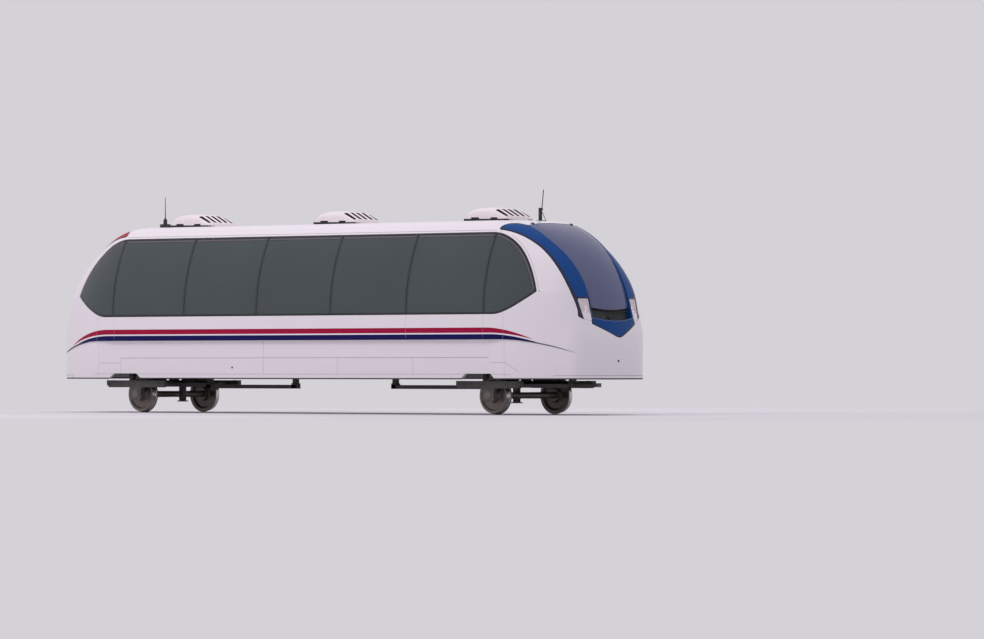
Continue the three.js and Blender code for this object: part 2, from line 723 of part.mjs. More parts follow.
const deckTop = FLOOR_TOP - FLOOR_THICKNESS;
const deckFoot = deckTop - DECK_THICKNESS;
add("floor", plate(WALL + SEAM, deckTop, FLOOR_TOP), "floor");
const members = MEMBERS.map((x) => (
  column([x, 0], [MEMBER_WIDTH / 2, MEMBER_HALF], high(MEMBER_FOOT), high(deckFoot) + 5)
));
add("underframe", join([plate(DECK_INSET, deckFoot, deckTop - SEAM), ...members]), "black");
const beamTop = high(MEMBER_FOOT) - SEAM;
for (const [side, sign] of [["right", -1], ["left", 1]]) {
  const y = sign * BEAM_Y;
  const beam = column([0, y], [BEAM_HALF, BEAM_WIDTH / 2], high(BEAM_FOOT), beamTop);
  const pads = [-JACK_PAD.x, JACK_PAD.x].map((x) => (
    column([x, y], JACK_PAD.half, high(BEAM_FOOT - JACK_PAD.depth), high(BEAM_FOOT) + 5)
  ));
  add(`long_beam_${side}`, join([beam, ...pads]), "black");
}
for (const { end, way } of ENDS) {
  const x = way * TRUCK_X;
  const bolster = [
    column([x, 0], BOLSTER_HALF, high(BOLSTER_FOOT), high(BEAM_FOOT) - SEAM),
    column([x, 0], BOLSTER_KEEL_HALF, high(BEAM_FOOT) - 5, high(deckFoot) - SEAM),
  ];
  add(`bolster_${end}`, join(bolster), "black");

  const half = BAR_WIDTH / 2;
  const barX = way * (BAR_START + BAR_END) / 2;
  const barHalves = [(BAR_END - BAR_START) / 2, half];
  const posts = [BAR_START + half, BAR_END - half].map((at) => (
    column([way * at, 0], [half, half], high(BAR_FOOT), beamTop)
  ));
  const bar = column([barX, 0], barHalves, high(BAR_FOOT), high(BAR_FOOT + BAR_DEPTH));
  add(`low_bar_${end}`, join([bar, ...posts]), "black");

  const towX = way * (TOW_POST + TOW_END) / 2;
  const towHalves = [(TOW_END - TOW_POST) / 2, half];
  const tow = [
    column([way * TOW_POST, 0], [half, half], high(TOW_FOOT), beamTop),
    column([towX, 0], towHalves, high(TOW_FOOT), high(TOW_FOOT + TOW_DEPTH)),
  ];
  add(`tow_bar_${end}`, join(tow), "black");
}

// Trucks: outside side frames, transoms, deck with the two air springs, pivot and mast bracket
const frameTop = TRUCK_FRAME_TOP;
const springTop = high(BOLSTER_FOOT) - SEAM;
for (const { end, way } of ENDS) {
  const x = way * TRUCK_X;
  const parts = [column([x, 0], TRUCK_DECK.half, frameTop - TRUCK_DECK.depth, frameTop)];
  for (const y of [-SIDE_FRAME_Y, SIDE_FRAME_Y]) {
    const half = SIDE_FRAME_WIDTH / 2;
    parts.push(column([x, y], [TRUCK_HALF, half], frameTop - SIDE_FRAME_DEPTH, frameTop));
    parts.push(column([x, y], [JOURNAL_BOX_HALF, half], AXLE_Z - JOURNAL_BOX_DROP, frameTop - TRANSOM_DEPTH));
  }
  for (const dx of [-TRANSOM_X, TRANSOM_X]) {
    parts.push(column([x + dx, 0], [TRANSOM_WIDTH / 2, SIDE_FRAME_Y], frameTop - TRANSOM_DEPTH, frameTop));
  }
  for (const { y, radius } of SPRINGS) {
    const length = springTop - frameTop + SPRING_SINK;
    parts.push(cylinder(radius, length, "z", [x, y, springTop - length / 2]));
  }
  const mast = [x - way * MAST_OFFSET, 0];
  parts.push(column(mast, [MAST_HALF, MAST_HALF], MAST_FLANGE_Z, frameTop - TRUCK_DECK.depth / 2));
  const bore = [[0, -80], [JOURNAL_BORE, -80], [JOURNAL_BORE, 80], [0, 80]];
  const bores = [-SIDE_FRAME_Y, SIDE_FRAME_Y].map((y) => lathe(bore, [x, y, AXLE_Z]));
  add(`truck_${end}`, join(parts).subtract(join(bores)), "black");

  const axle = [
    [0, -AXLE_HALF],
    [JOURNAL_RADIUS, -AXLE_HALF],
    [JOURNAL_RADIUS, -SEAT_HALF],
    [AXLE_RADIUS, -SEAT_HALF],
    [AXLE_RADIUS, SEAT_HALF],
    [JOURNAL_RADIUS, SEAT_HALF],
    [JOURNAL_RADIUS, AXLE_HALF],
    [0, AXLE_HALF],
  ];
  add(`axle_${end}`, lathe(axle, [x, 0, AXLE_Z]), "steel");
  for (const [side, sign] of [["right", -1], ["left", 1]]) {
    const bore = AXLE_RADIUS + SEAM;
    const flange = BACK_TO_BACK_HALF;
    const rim = flange + FLANGE_WIDTH + TREAD_WIDTH;
    const profile = [
      [bore, flange - 10],
      [115, flange - 10],
      [120, flange + 45],
      [265, flange + 45],
      [275, flange],
      [FLANGE_RADIUS, flange + 8],
      [FLANGE_RADIUS, flange + 24],
      [TREAD_RADIUS + 4, flange + FLANGE_WIDTH],
      [TREAD_RADIUS, rim],
      [275, rim],
      [265, flange + 85],
      [120, flange + 85],
      [115, rim + 10],
      [bore, rim + 10],
    ].map(([r, y]) => [r, sign * y]);
    if (sign < 0) profile.reverse();
    profile.push(profile[0]);
    add(`wheel_${end}_${side}`, lathe(profile, [x, 0, AXLE_Z]), "steel");
  }
}

// Roof units: a rounded shell with a slotted grille on its front slope and notches in its lower edge
const roofSeat = high(ROOF_TOP) - 1 + SEAM;
const [footBack, footRise] = UNIT_GRILLE_FOOT;
const [topBack, topRise] = UNIT_GRILLE_TOP;
const slopeLength = Math.hypot(topBack - footBack, topRise - footRise);
const slopeNormal = [(topRise - footRise) / slopeLength, (topBack - footBack) / slopeLength];
for (const { name, x } of AIR_UNITS) {
  const front = x + UNIT_LENGTH / 2;
  const place = ([back, rise]) => [front - back, roofSeat + rise];
  const section = [...UNIT_SECTION, ...mirrorY(UNIT_SECTION)].map(([y, z]) => [y, roofSeat + z]);
  const shape = sidePrism(UNIT_PROFILE.map(place), -FAR_Y, FAR_Y)
    .intersect(frontPrism(section, -FAR_X, FAR_X));
  const onSlope = (share, lift) => place([
    footBack + (topBack - footBack) * share - slopeNormal[0] * lift,
    footRise + (topRise - footRise) * share + slopeNormal[1] * lift,
  ]);
  const [first, last] = SLOT_ENDS;
  const slot = [
    onSlope(first, SLOT_DEPTH),
    onSlope(last, SLOT_DEPTH),
    onSlope(last, -SLOT_DEPTH),
    onSlope(first, -SLOT_DEPTH),
  ];
  const cuts = [-2, -1, 0, 1, 2].map((n) => (
    sidePrism(slot, n * SLOT_PITCH - SLOT_WIDTH / 2, n * SLOT_PITCH + SLOT_WIDTH / 2)
  ));
  for (const back of NOTCHES) {
    for (const y of [-UNIT_SECTION[0][0], UNIT_SECTION[0][0]]) {
      const halves = [NOTCH.length / 2, NOTCH.depth];
      cuts.push(column([front - back, y], halves, roofSeat - 5, roofSeat + NOTCH.height));
    }
  }
  add(name, shape.subtract(join(cuts)), "white");
}
for (const { name, x, y, foot, post, whip } of AERIALS) {
  const [footX, footY, footTop] = foot;
  const [postHalf, postTop] = post;
  const whipLength = whip - postTop + SPRING_SINK;
  add(name, join([
    column([x, y], [footX, footY], roofSeat, roofSeat + footTop),
    column([x, y], [postHalf, postHalf], roofSeat + footTop / 2, roofSeat + postTop),
    cylinder(WHIP_RADIUS, whipLength, "z", [x, y, roofSeat + whip - whipLength / 2], 8),
  ]), "black");
}

// Inside: a bench across each end and the grab rails
const floorTop = high(FLOOR_TOP) + SEAM;
for (const { end, way } of ENDS) {
  const profile = BENCH_PROFILE.map(([x, z]) => [x, floorTop + z]);
  add(`bench_${end}`, sidePrism(way > 0 ? profile : mirrorX(profile), -BENCH_HALF, BENCH_HALF), "seat");
}
const railZ = high(RAIL_Z);
const ceiling = high(ROOF_TOP - WALL) - 1 - SEAM;
const rails = [];
const upright = (x, y, low, top) => (
  cylinder(RAIL_RADIUS, top - low, "z", [x, y, (low + top) / 2], RAIL_SIDES)
);
for (const y of [-RAIL_Y, RAIL_Y]) {
  rails.push(cylinder(RAIL_RADIUS, 2 * RAIL_HALF, "x", [0, y, railZ], RAIL_SIDES));
  for (const x of [-PANE_PITCH / 2, PANE_PITCH / 2]) rails.push(upright(x, y, floorTop, railZ));
  for (const x of [-RAIL_HANGER, RAIL_HANGER]) rails.push(upright(x, y, railZ, ceiling));
}
for (const x of [-PANE_PITCH / 2, PANE_PITCH / 2]) {
  rails.push(cylinder(RAIL_RADIUS, 2 * RAIL_Y, "y", [x, 0, railZ], RAIL_SIDES));
}
add("grab_rails", join(rails), "rail");

export default car;
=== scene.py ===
import math

import bmesh
import bpy
import numpy as np
from mathutils import Matrix, Vector


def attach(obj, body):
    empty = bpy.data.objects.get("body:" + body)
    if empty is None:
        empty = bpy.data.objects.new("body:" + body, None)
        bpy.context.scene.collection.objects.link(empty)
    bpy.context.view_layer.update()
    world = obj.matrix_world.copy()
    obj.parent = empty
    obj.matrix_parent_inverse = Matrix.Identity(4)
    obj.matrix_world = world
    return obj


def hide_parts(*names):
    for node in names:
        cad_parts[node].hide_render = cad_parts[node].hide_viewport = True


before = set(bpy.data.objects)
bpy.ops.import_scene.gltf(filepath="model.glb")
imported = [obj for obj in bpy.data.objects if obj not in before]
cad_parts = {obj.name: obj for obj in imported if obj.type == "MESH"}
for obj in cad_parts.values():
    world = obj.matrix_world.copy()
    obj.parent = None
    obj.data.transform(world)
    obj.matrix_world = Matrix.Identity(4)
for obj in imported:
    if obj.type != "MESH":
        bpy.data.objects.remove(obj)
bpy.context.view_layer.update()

# Metres. +X is the front with the blue mask, +Y the left side with the doors, +Z up.
# Heights are above the lower edge of the skirt, unless a comment says that they are above the ground.

# Cross-section
SKIRT = 0.65  # above the ground
HALF_WIDTH = 1.4
SILL = 1.14
WALL_RADIUS = 3.1
CANTRAIL_RADIUS = 0.41
CANTRAIL_Y = 0.682
CANTRAIL_Z = 2.392
ROOF_TOP = CANTRAIL_Z + CANTRAIL_RADIUS
WALL_TOP = 2.583
GLASS_TOP = 2.575
ROOF_JOINT = 2.70
WALL = 0.07
TAPER_RADIUS = 3.0
TAPER_LEVELS = (1.5, 2.3)
TAPER_STARTS = (4.7, 4.4)

# Nose
NOSE = 6.6
NOSE_FOOT = 0.6
NOSE_BEND = 0.85
NOSE_BEND_RADIUS = 0.822
GLASS_FOOT = 1.19
GLASS_RADIUS = 2.1
GLASS_X = 4.4
GLASS_Z = 0.75
BROW_RADIUS = 1.2
BROW_Z = ROOF_TOP - BROW_RADIUS
BROW_X = GLASS_X + math.sqrt((GLASS_RADIUS - BROW_RADIUS) ** 2 - (BROW_Z - GLASS_Z) ** 2)
BROW_START = GLASS_Z + (BROW_Z - GLASS_Z) * GLASS_RADIUS / (GLASS_RADIUS - BROW_RADIUS)

# Bend of the nose and run of its corners in plan, at some heights
FRONT_LEVELS = [0.7, 1.1, 1.7, 2.3, 2.7]
FRONT_RADII = [1.9, 2.5, 2.6, 1.95, 2.4]
CORNER_LEVELS = [0.8, 1.15, 2.0, 2.6]
CORNER_RUNS = [0.13, 0.23, 0.33, 0.45]

# Crease and recessed skirt
CREASE = 0.692
CREASE_DROP = 0.229
CREASE_POWER = 2.3
CREASE_START = 4.9
CREASE_END = 6.355
RECESS_PLACES = [4.7, 5.06, 6.15, 6.45]
RECESS_DEPTHS = [0.1, 0.038, 0.022, 0.0]

# Windows, doors and inside
PANE_PITCH = 1.852
MULLIONS = [n * PANE_PITCH for n in (-2.5, -1.5, -0.5, 0.5, 1.5, 2.5)]
DOOR_CENTRES = {"rear": -PANE_PITCH, "front": PANE_PITCH}
DOORWAY_HALF = 0.907
DOORWAY_TOP = 2.42
FLOOR_TOP = 0.42
COWL_JOINT = 5.065
UPPER_JOINT = 4.7
JOINT_STEP = 2.0

# Trucks, heights above the ground
TRUCK_X = 4.405
AXLE_Z = 0.345 * math.cos(math.pi / 24)
TREAD_RADIUS = 0.32
FLANGE_RADIUS = AXLE_Z
WHEEL_BACK = 0.765

SIDES = (("right", -1), ("left", 1))


# Camera, floor and lights

CAMERA_AZIMUTH = math.radians(41.6)
CAMERA_DISTANCE = 106.3
CAMERA_AIM_X = 3.59
CAMERA_HEIGHT = 0.827
CAMERA_PITCH = 0.0082
FOCAL_PIXELS = 5933.0
IMAGE_WIDTH = 984
SENSOR = 36.0
FAR_CLIP = 1000.0
BACKDROP = (0.66, 0.64, 0.68)
FLOOR_COLOUR = (0.66, 0.645, 0.68)
FLOOR_ROUGHNESS = 0.9
FLOOR_FADE = (6.0, 20.0)  # the floor fades into the backdrop between these distances from the middle
LIGHTS = [  # name, place, aim, size, watts and colour
    ("key", (-5, -21, 17), (0, 0, 1.6), (16, 10), 1900.0, (1.0, 0.93, 0.96)),
    ("left_fill", (-4, 22, 14), (0, 0, 1.6), (16, 10), 1300.0, (0.96, 0.95, 1.0)),
    ("top", (0, 0, 18), (0, 0, 0), (22, 10), 950.0, (1.0, 0.95, 0.98)),
]


def add_object(name, data):
    thing = bpy.data.objects.new(name, data)
    bpy.context.scene.collection.objects.link(thing)
    return thing


def add_camera():
    data = bpy.data.cameras.new("camera")
    data.sensor_width = SENSOR
    data.lens = SENSOR * FOCAL_PIXELS / IMAGE_WIDTH
    data.clip_end = FAR_CLIP
    camera = add_object("camera", data)
    camera.location = (
        CAMERA_AIM_X + CAMERA_DISTANCE * math.sin(CAMERA_AZIMUTH),
        -CAMERA_DISTANCE * math.cos(CAMERA_AZIMUTH),
        CAMERA_HEIGHT,
    )
    camera.rotation_euler = (math.pi / 2 + CAMERA_PITCH, 0.0, CAMERA_AZIMUTH)
    bpy.context.scene.camera = camera


def add_area_light(name, place, aim, size, power, colour):
    data = bpy.data.lights.new(name, "AREA")
    data.shape = "RECTANGLE"
    data.size, data.size_y = size
    data.energy = power
    data.color = colour
    light = add_object(name, data)
    light.location = place
    light.rotation_euler = (Vector(aim) - Vector(place)).to_track_quat("-Z", "Y").to_euler()
    light.visible_glossy = False


def new_material(name):
    material = bpy.data.materials.new(name)
    material.use_nodes = True
    return material, material.node_tree, material.node_tree.nodes["Principled BSDF"]


def set_inputs(tree, node, inputs):
    """Sets inputs to numbers or colours, or links them to the outputs of other nodes."""
    for name, value in inputs.items():
        if isinstance(value, bpy.types.NodeSocket):
            tree.links.new(value, node.inputs[name])
        else:
            node.inputs[name].default_value = value


def add_node(tree, kind, inputs=None, **settings):
    node = tree.nodes.new(kind)
    for name, value in settings.items():
        setattr(node, name, value)
    set_inputs(tree, node, inputs or {})
    return node


def floor_material():
    material, tree, shader = new_material("studio_floor")
    set_inputs(tree, shader, {"Base Color": (*FLOOR_COLOUR, 1.0), "Roughness": FLOOR_ROUGHNESS})
    place = add_node(tree, "ShaderNodeTexCoord").outputs["Object"]
    distance = add_node(tree, "ShaderNodeVectorMath", {0: place}, operation="LENGTH").outputs["Value"]
    limits = {"From Min": FLOOR_FADE[0], "From Max": FLOOR_FADE[1], "Value": distance}
    fade = add_node(tree, "ShaderNodeMapRange", limits, interpolation_type="SMOOTHSTEP").outputs["Result"]
    clear = add_node(tree, "ShaderNodeBsdfTransparent").outputs["BSDF"]
    mix = add_node(tree, "ShaderNodeMixShader", {"Fac": fade, 1: shader.outputs["BSDF"], 2: clear})
    tree.links.new(mix.outputs["Shader"], tree.nodes["Material Output"].inputs["Surface"])
    return material


def add_studio():
    world = bpy.data.worlds.new("studio")
    bpy.context.scene.world = world
    world.use_nodes = True
    background = world.node_tree.nodes["Background"]
    set_inputs(world.node_tree, background, {"Color": (*BACKDROP, 1.0), "Strength": 1.0})
    half = FLOOR_FADE[1]
    corners = [(-half, -half, 0), (half, -half, 0), (half, half, 0), (-half, half, 0)]
    mesh = bpy.data.meshes.new("floor")
    mesh.from_pydata(corners, [], [(0, 1, 2, 3)])
    floor = add_object("studio_floor", mesh)
    mesh.materials.append(floor_material())
    for light in LIGHTS:
        add_area_light(*light)


add_camera()
add_studio()
bpy.context.scene.view_settings.view_transform = "Standard"


# Materials

DUST = (0.30, 0.27, 0.25)
DUST_FOOT = 0.2  # dust is thickest below this height above the ground
FINE_GRAIN = (220.0, 0.05, 0.001)


def make_finish(name, colour, roughness, metallic=0.0, coat=0.0, alpha=1.0, specular=0.5,
                mottle=(3.0, 0.04), grain=(60.0, 0.02, 0.002), wear=0.05, dust=0.0, dust_top=1.3):
    """A finish with large mottling, fine grain in its bump, uneven gloss and dust towards the ground.

    mottle is the scale and the strength of the mottling, and grain the scale, the strength and the depth of
    the bump.
    """
    material, tree, shader = new_material(name)
    place = add_node(tree, "ShaderNodeTexCoord").outputs["Object"]
    clouds = add_node(tree, "ShaderNodeTexNoise", {"Scale": mottle[0], "Detail": 4.0, "Vector": place})
    clouds = clouds.outputs["Fac"]
    dark = [c * (1 - mottle[1]) for c in colour]
    light = [min(1.0, c * (1 + mottle[1])) for c in colour]
    colours = {"A": (*dark, 1), "B": (*light, 1), "Factor": clouds}
    shade = add_node(tree, "ShaderNodeMix", colours, data_type="RGBA").outputs["Result"]
    if dust > 0:
        above = add_node(tree, "ShaderNodeSeparateXYZ", {"Vector": place}).outputs["Z"]
        fall = {"From Min": DUST_FOOT, "From Max": dust_top, "To Min": dust, "To Max": 0.0, "Value": above}
        fall = add_node(tree, "ShaderNodeMapRange", fall).outputs["Result"]
        patches = add_node(tree, "ShaderNodeMath", {0: fall, 1: clouds}, operation="MULTIPLY")
        colours = {"A": shade, "B": (*DUST, 1), "Factor": patches.outputs["Value"]}
        shade = add_node(tree, "ShaderNodeMix", colours, data_type="RGBA").outputs["Result"]
    speck = add_node(tree, "ShaderNodeTexNoise", {"Scale": grain[0], "Detail": 3.0, "Vector": place})
    limits = {"To Min": max(0.02, roughness - wear), "To Max": min(1.0, roughness + wear), "Value": clouds}
    gloss = add_node(tree, "ShaderNodeMapRange", limits)
    relief = {"Strength": grain[1], "Distance": grain[2], "Height": speck.outputs["Fac"]}
    bump = add_node(tree, "ShaderNodeBump", relief)
    set_inputs(tree, shader, {
        "Base Color": shade, "Roughness": gloss.outputs["Result"], "Normal": bump.outputs["Normal"],
        "Metallic": metallic, "Coat Weight": coat, "Alpha": alpha, "Specular IOR Level": specular,
    })
    return material


def make_paint(name, colour, specular=0.15, scale=1.0):
    return make_finish(name, colour, 0.4, specular=specular, mottle=(scale, 0.08))


def make_glass(name, colour, roughness, alpha, specular, patchiness):
    return make_finish(
        name, colour, roughness, alpha=alpha, specular=specular, mottle=(0.5, patchiness),
        grain=(1.6, 0.02, 0.004), wear=0.02,
    )


WHITE = make_finish(
    "white_paint", (0.76, 0.715, 0.765), 0.3, coat=0.3, mottle=(0.7, 0.025), dust=0.3, dust_top=1.2
)
BLUE = make_paint("blue_paint", (0.004, 0.052, 0.215))
RED_MASK = make_paint("red_mask_paint", (0.40, 0.010, 0.05))
OUTLINE = make_finish("navy_outline", (0.006, 0.008, 0.04), 0.35, mottle=(6.0, 0.15))
RED = make_paint("red_stripe", (0.32, 0.002, 0.040), 0.12, 1.2)
NAVY = make_paint("navy_stripe", (0.004, 0.003, 0.075), 0.12, 1.2)
SEAL = make_finish("black_seal", (0.012, 0.013, 0.022), 0.55, mottle=(9.0, 0.15), grain=FINE_GRAIN)
CREASE_SHADE = make_finish("crease_shade", (0.17, 0.145, 0.175), 0.6, mottle=(9.0, 0.15))
JOINT = make_finish("joint_shade", (0.34, 0.30, 0.335), 0.6, mottle=(9.0, 0.15), grain=FINE_GRAIN)
LINING = make_finish("wall_lining", (0.42, 0.42, 0.41), 0.6, mottle=(2.0, 0.05), grain=(150.0, 0.1, 0.001))
GLASS = make_glass("tinted_glass", (0.050, 0.066, 0.070), 0.1, 0.88, 0.55, 0.2)
SCREEN = make_glass("windscreen_glass", (0.090, 0.100, 0.205), 0.16, 0.94, 0.5, 0.08)
GLASS_SHADE = make_glass("shaded_glass", (0.032, 0.044, 0.048), 0.1, 0.94, 0.55, 0.2)
EDGE_GLASS = make_glass("edge_glass", (0.105, 0.092, 0.112), 0.14, 0.95, 0.5, 0.1)
FRIT = make_finish("black_frit", (0.012, 0.014, 0.018), 0.25, mottle=(5.0, 0.1))
# Bluish border of the windscreen glass along its sides and top: a painted reflection of the reveal's edges.
SCREEN_EDGE_REFLECTION = make_finish("screen_edge_reflection", (0.10, 0.12, 0.26), 0.3, mottle=(5.0, 0.1))
BAY = make_finish(
    "wiper_bay_grey", (0.026, 0.031, 0.032), 0.65, mottle=(12.0, 0.2), grain=(200.0, 0.2, 0.001)
)
GREY = make_finish("lamp_housing_grey", (0.20, 0.19, 0.215), 0.35, mottle=(20.0, 0.1))
LENS = make_finish("lamp_lens", (0.84, 0.74, 0.79), 0.08, alpha=0.6, mottle=(6.0, 0.03), wear=0.02)
CHROME = make_finish("lamp_reflector", (0.80, 0.76, 0.76), 0.16, metallic=1.0, mottle=(20.0, 0.05))
BULB = make_finish("warm_bulb", (0.95, 0.70, 0.55), 0.3, mottle=(20.0, 0.1))
GLOW = {"Emission Color": (1.0, 0.62, 0.55, 1.0), "Emission Strength": 1.6}
set_inputs(BULB.node_tree, BULB.node_tree.nodes["Principled BSDF"], GLOW)
BLACK = make_finish(
    "black_frame", (0.022, 0.021, 0.022), 0.6, mottle=(5.0, 0.25), grain=(90.0, 0.25, 0.002), wear=0.12,
    dust=0.55, dust_top=1.1,
)
STEEL = make_finish(
    "wheel_steel", (0.20, 0.17, 0.155), 0.5, metallic=0.8, mottle=(14.0, 0.25), grain=(180.0, 0.25, 0.001),
    wear=0.15,
)
TREAD = make_finish(
    "bright_tread", (0.56, 0.55, 0.54), 0.28, metallic=1.0, mottle=(30.0, 0.08), grain=(300.0, 0.08, 0.0005)
)
RUBBER = make_finish(
    "black_rubber", (0.02, 0.02, 0.021), 0.75, mottle=(12.0, 0.2), grain=(260.0, 0.2, 0.001), dust=0.3
)
FLOOR = make_finish("floor_cover", (0.11, 0.12, 0.13), 0.7, mottle=(140.0, 0.35), grain=(260.0, 0.3, 0.001))
SEAT = make_finish("seat_shell", (0.03, 0.07, 0.19), 0.4, mottle=(3.0, 0.08), grain=(120.0, 0.1, 0.001))
RAIL = make_finish("rail_tube", (0.62, 0.40, 0.06), 0.38, mottle=(8.0, 0.05), grain=(200.0, 0.05, 0.001))
ALUMINIUM = make_finish(
    "ribbed_aluminium", (0.55, 0.55, 0.56), 0.35, metallic=1.0, mottle=(30.0, 0.1),
    grain=(300.0, 0.15, 0.001),
)
POD = make_finish(
    "roof_unit_shell", (0.76, 0.69, 0.715), 0.42, coat=0.1, mottle=(2.5, 0.06), grain=(90.0, 0.06, 0.002)
)


# The skin as a grid of rings, one for each level, from the skirt to the middle of the roof

STRAIGHT_END = 4.0
STRAIGHT_STEPS = 40
TAPER_STEPS = 60
CORNER_STEPS = 10
FRONT_STEPS = 30
CAP_STEPS = 12
UNDER_CREASE = 0.034  # height of the ledge under the crease
OVER_CREASE = 0.012
LEDGE = [(0.022, 0.97), (0.015, 0.9), (0.011, 0.5), (0.007, 0.1), (0.002, 0.03), (-OVER_CREASE, 0.0)]
BELT = 0.9  # the rows follow the crease below this height and are level above it
LIFT_END = 1.09  # the inner surface is lifted below this height, most at the crease
INNER_BLEND = 0.3  # over this height the inner surface turns from level insets to insets along the normals
RECESS_FADE = 0.3  # the recess runs out over this distance from the middle of the nose


def half_width(z):
    wall = HALF_WIDTH - WALL_RADIUS + np.sqrt(WALL_RADIUS**2 - np.maximum(0, z - SILL) ** 2)
    rise = z - CANTRAIL_Z
    roof = CANTRAIL_Y + np.sqrt(np.maximum(0, CANTRAIL_RADIUS**2 - rise**2))
    return np.where(rise <= CANTRAIL_RADIUS * (WALL_TOP - SILL) / WALL_RADIUS, wall, roof)


def nose_reach(z):
    slope = math.tan(math.asin((NOSE_BEND - NOSE_FOOT) / NOSE_BEND_RADIUS))
    bend = np.clip(z, NOSE_FOOT, NOSE_BEND) - NOSE_FOOT
    drop = NOSE_BEND_RADIUS - np.sqrt(NOSE_BEND_RADIUS**2 - bend**2)
    low = NOSE - drop - np.maximum(0, z - NOSE_BEND) * slope
    glass = GLASS_X + np.sqrt(np.maximum(0, GLASS_RADIUS**2 - (z - GLASS_Z) ** 2))
    brow = BROW_X + np.sqrt(np.maximum(0, BROW_RADIUS**2 - (z - BROW_Z) ** 2))
    return np.where(z < GLASS_FOOT, low, np.where(z < BROW_START, glass, brow))


def side_y(x, z):
    start = np.interp(z, TAPER_LEVELS, TAPER_STARTS)
    return half_width(z) - np.maximum(0, x - start) ** 2 / (2 * TAPER_RADIUS)


def front_x(y, z):
    return nose_reach(z) - y**2 / (2 * np.interp(z, FRONT_LEVELS, FRONT_RADII))


def crease_height(x):
    share = (np.abs(x) - CREASE_START) / (CREASE_END - CREASE_START)
    return CREASE - CREASE_DROP * np.clip(share, 0, 1) ** CREASE_POWER


def recess_at(x):
    return np.interp(np.abs(x), RECESS_PLACES, RECESS_DEPTHS)


def quarter_plan(z):
    """Plan curve at a height, from the middle of the side to the middle of the nose."""
    run = float(np.interp(z, CORNER_LEVELS, CORNER_RUNS))
    corner_x = float(nose_reach(z))
    for _ in range(40):
        corner_x = float(front_x(side_y(corner_x, z), z))
    corner = np.array([corner_x, float(side_y(corner_x, z))])
    straight = np.linspace(0, STRAIGHT_END, STRAIGHT_STEPS, endpoint=False)
    taper = np.linspace(STRAIGHT_END, corner[0] - run, TAPER_STEPS)
    xs = np.concatenate([straight, taper])
    side = np.stack([xs, side_y(xs, z)], 1)
    t = (np.arange(1, CORNER_STEPS) / CORNER_STEPS)[:, None]
    front_end = corner[1] - run
    last = np.array([float(front_x(front_end, z)), front_end])
    bend = (1 - t) ** 2 * side[-1] + 2 * t * (1 - t) * corner + t**2 * last
    ys = np.linspace(front_end, 0, FRONT_STEPS)
    front = np.stack([front_x(ys, z), ys], 1)
    return np.concatenate([side, bend, front])


def skin_levels():
    """Rows of the grid as (height at the nose, share of the recess, height as a function of x)."""
    rows = []
    low = CREASE - CREASE_DROP
    for share in np.linspace(0, 1, 22):
        rows.append((low * share, 1.0, lambda x, s=share: s * (crease_height(x) - UNDER_CREASE)))
    for below, recess in LEDGE:
        rows.append((low, recess, lambda x, b=below: crease_height(x) - b))
    for share in np.linspace(0, 1, 13)[1:]:
        above = lambda x, s=share: (
            crease_height(x) + OVER_CREASE + s * (BELT - crease_height(x) - OVER_CREASE)
        )
        rows.append((low + OVER_CREASE + share * (BELT - low - OVER_CREASE), 0.0, above))
    upper = np.concatenate([np.linspace(BELT, SILL, 9)[1:], np.linspace(SILL, GLASS_TOP, 50)[1:]])
    start = math.asin((GLASS_TOP - CANTRAIL_Z) / CANTRAIL_RADIUS)
    angles = np.linspace(start, math.pi / 2, 17)[1:]
    roof = [CANTRAIL_Z + CANTRAIL_RADIUS * math.sin(angle) for angle in angles]
    for z in [*upper.tolist(), *roof]:
        rows.append((z, 0.0, lambda x, z=z: z + 0 * x))
    return rows


def skin_grid():
    """Points and outward normals of the skin, level by level, each level a closed ring."""
    levels = []
    for section, recess, height_at in skin_levels():
        quarter = quarter_plan(section)
        x, y = quarter[:, 0], quarter[:, 1]
        inward = recess * recess_at(x) * np.clip(y / RECESS_FADE, 0, 1)
        levels.append(np.stack([x, y - inward, height_at(x)], 1))
    count = len(levels)
    for step in range(1, CAP_STEPS + 1):
        cap = levels[count - 1].copy()
        cap[:, 1] *= 1 - step / CAP_STEPS
        levels.append(cap)
    rings = []
    for quarter in levels:
        mirror_y = quarter * [1, -1, 1]
        mirror_x = quarter * [-1, 1, 1]
        both = quarter * [-1, -1, 1]
        rings.append(np.concatenate([mirror_y, quarter[-2::-1], mirror_x[1:], both[-2:0:-1]]))
    grid = np.stack(rings)
    grid[:, :, 2] += SKIRT
    along = np.roll(grid, -1, 1) - np.roll(grid, 1, 1)
    normals = np.cross(along, np.gradient(grid, axis=0))
    length = np.linalg.norm(normals, axis=2, keepdims=True)
    flat = length[:, :, 0] < 1e-9
    normals = normals / np.maximum(length, 1e-9)
    normals[flat] = (0, 0, 1)
    normals[count - 1:] = (0, 0, 1)
    return grid, normals


def edges_of(triangles):
    return np.concatenate([triangles[:, [0, 1]], triangles[:, [1, 2]], triangles[:, [2, 0]]])


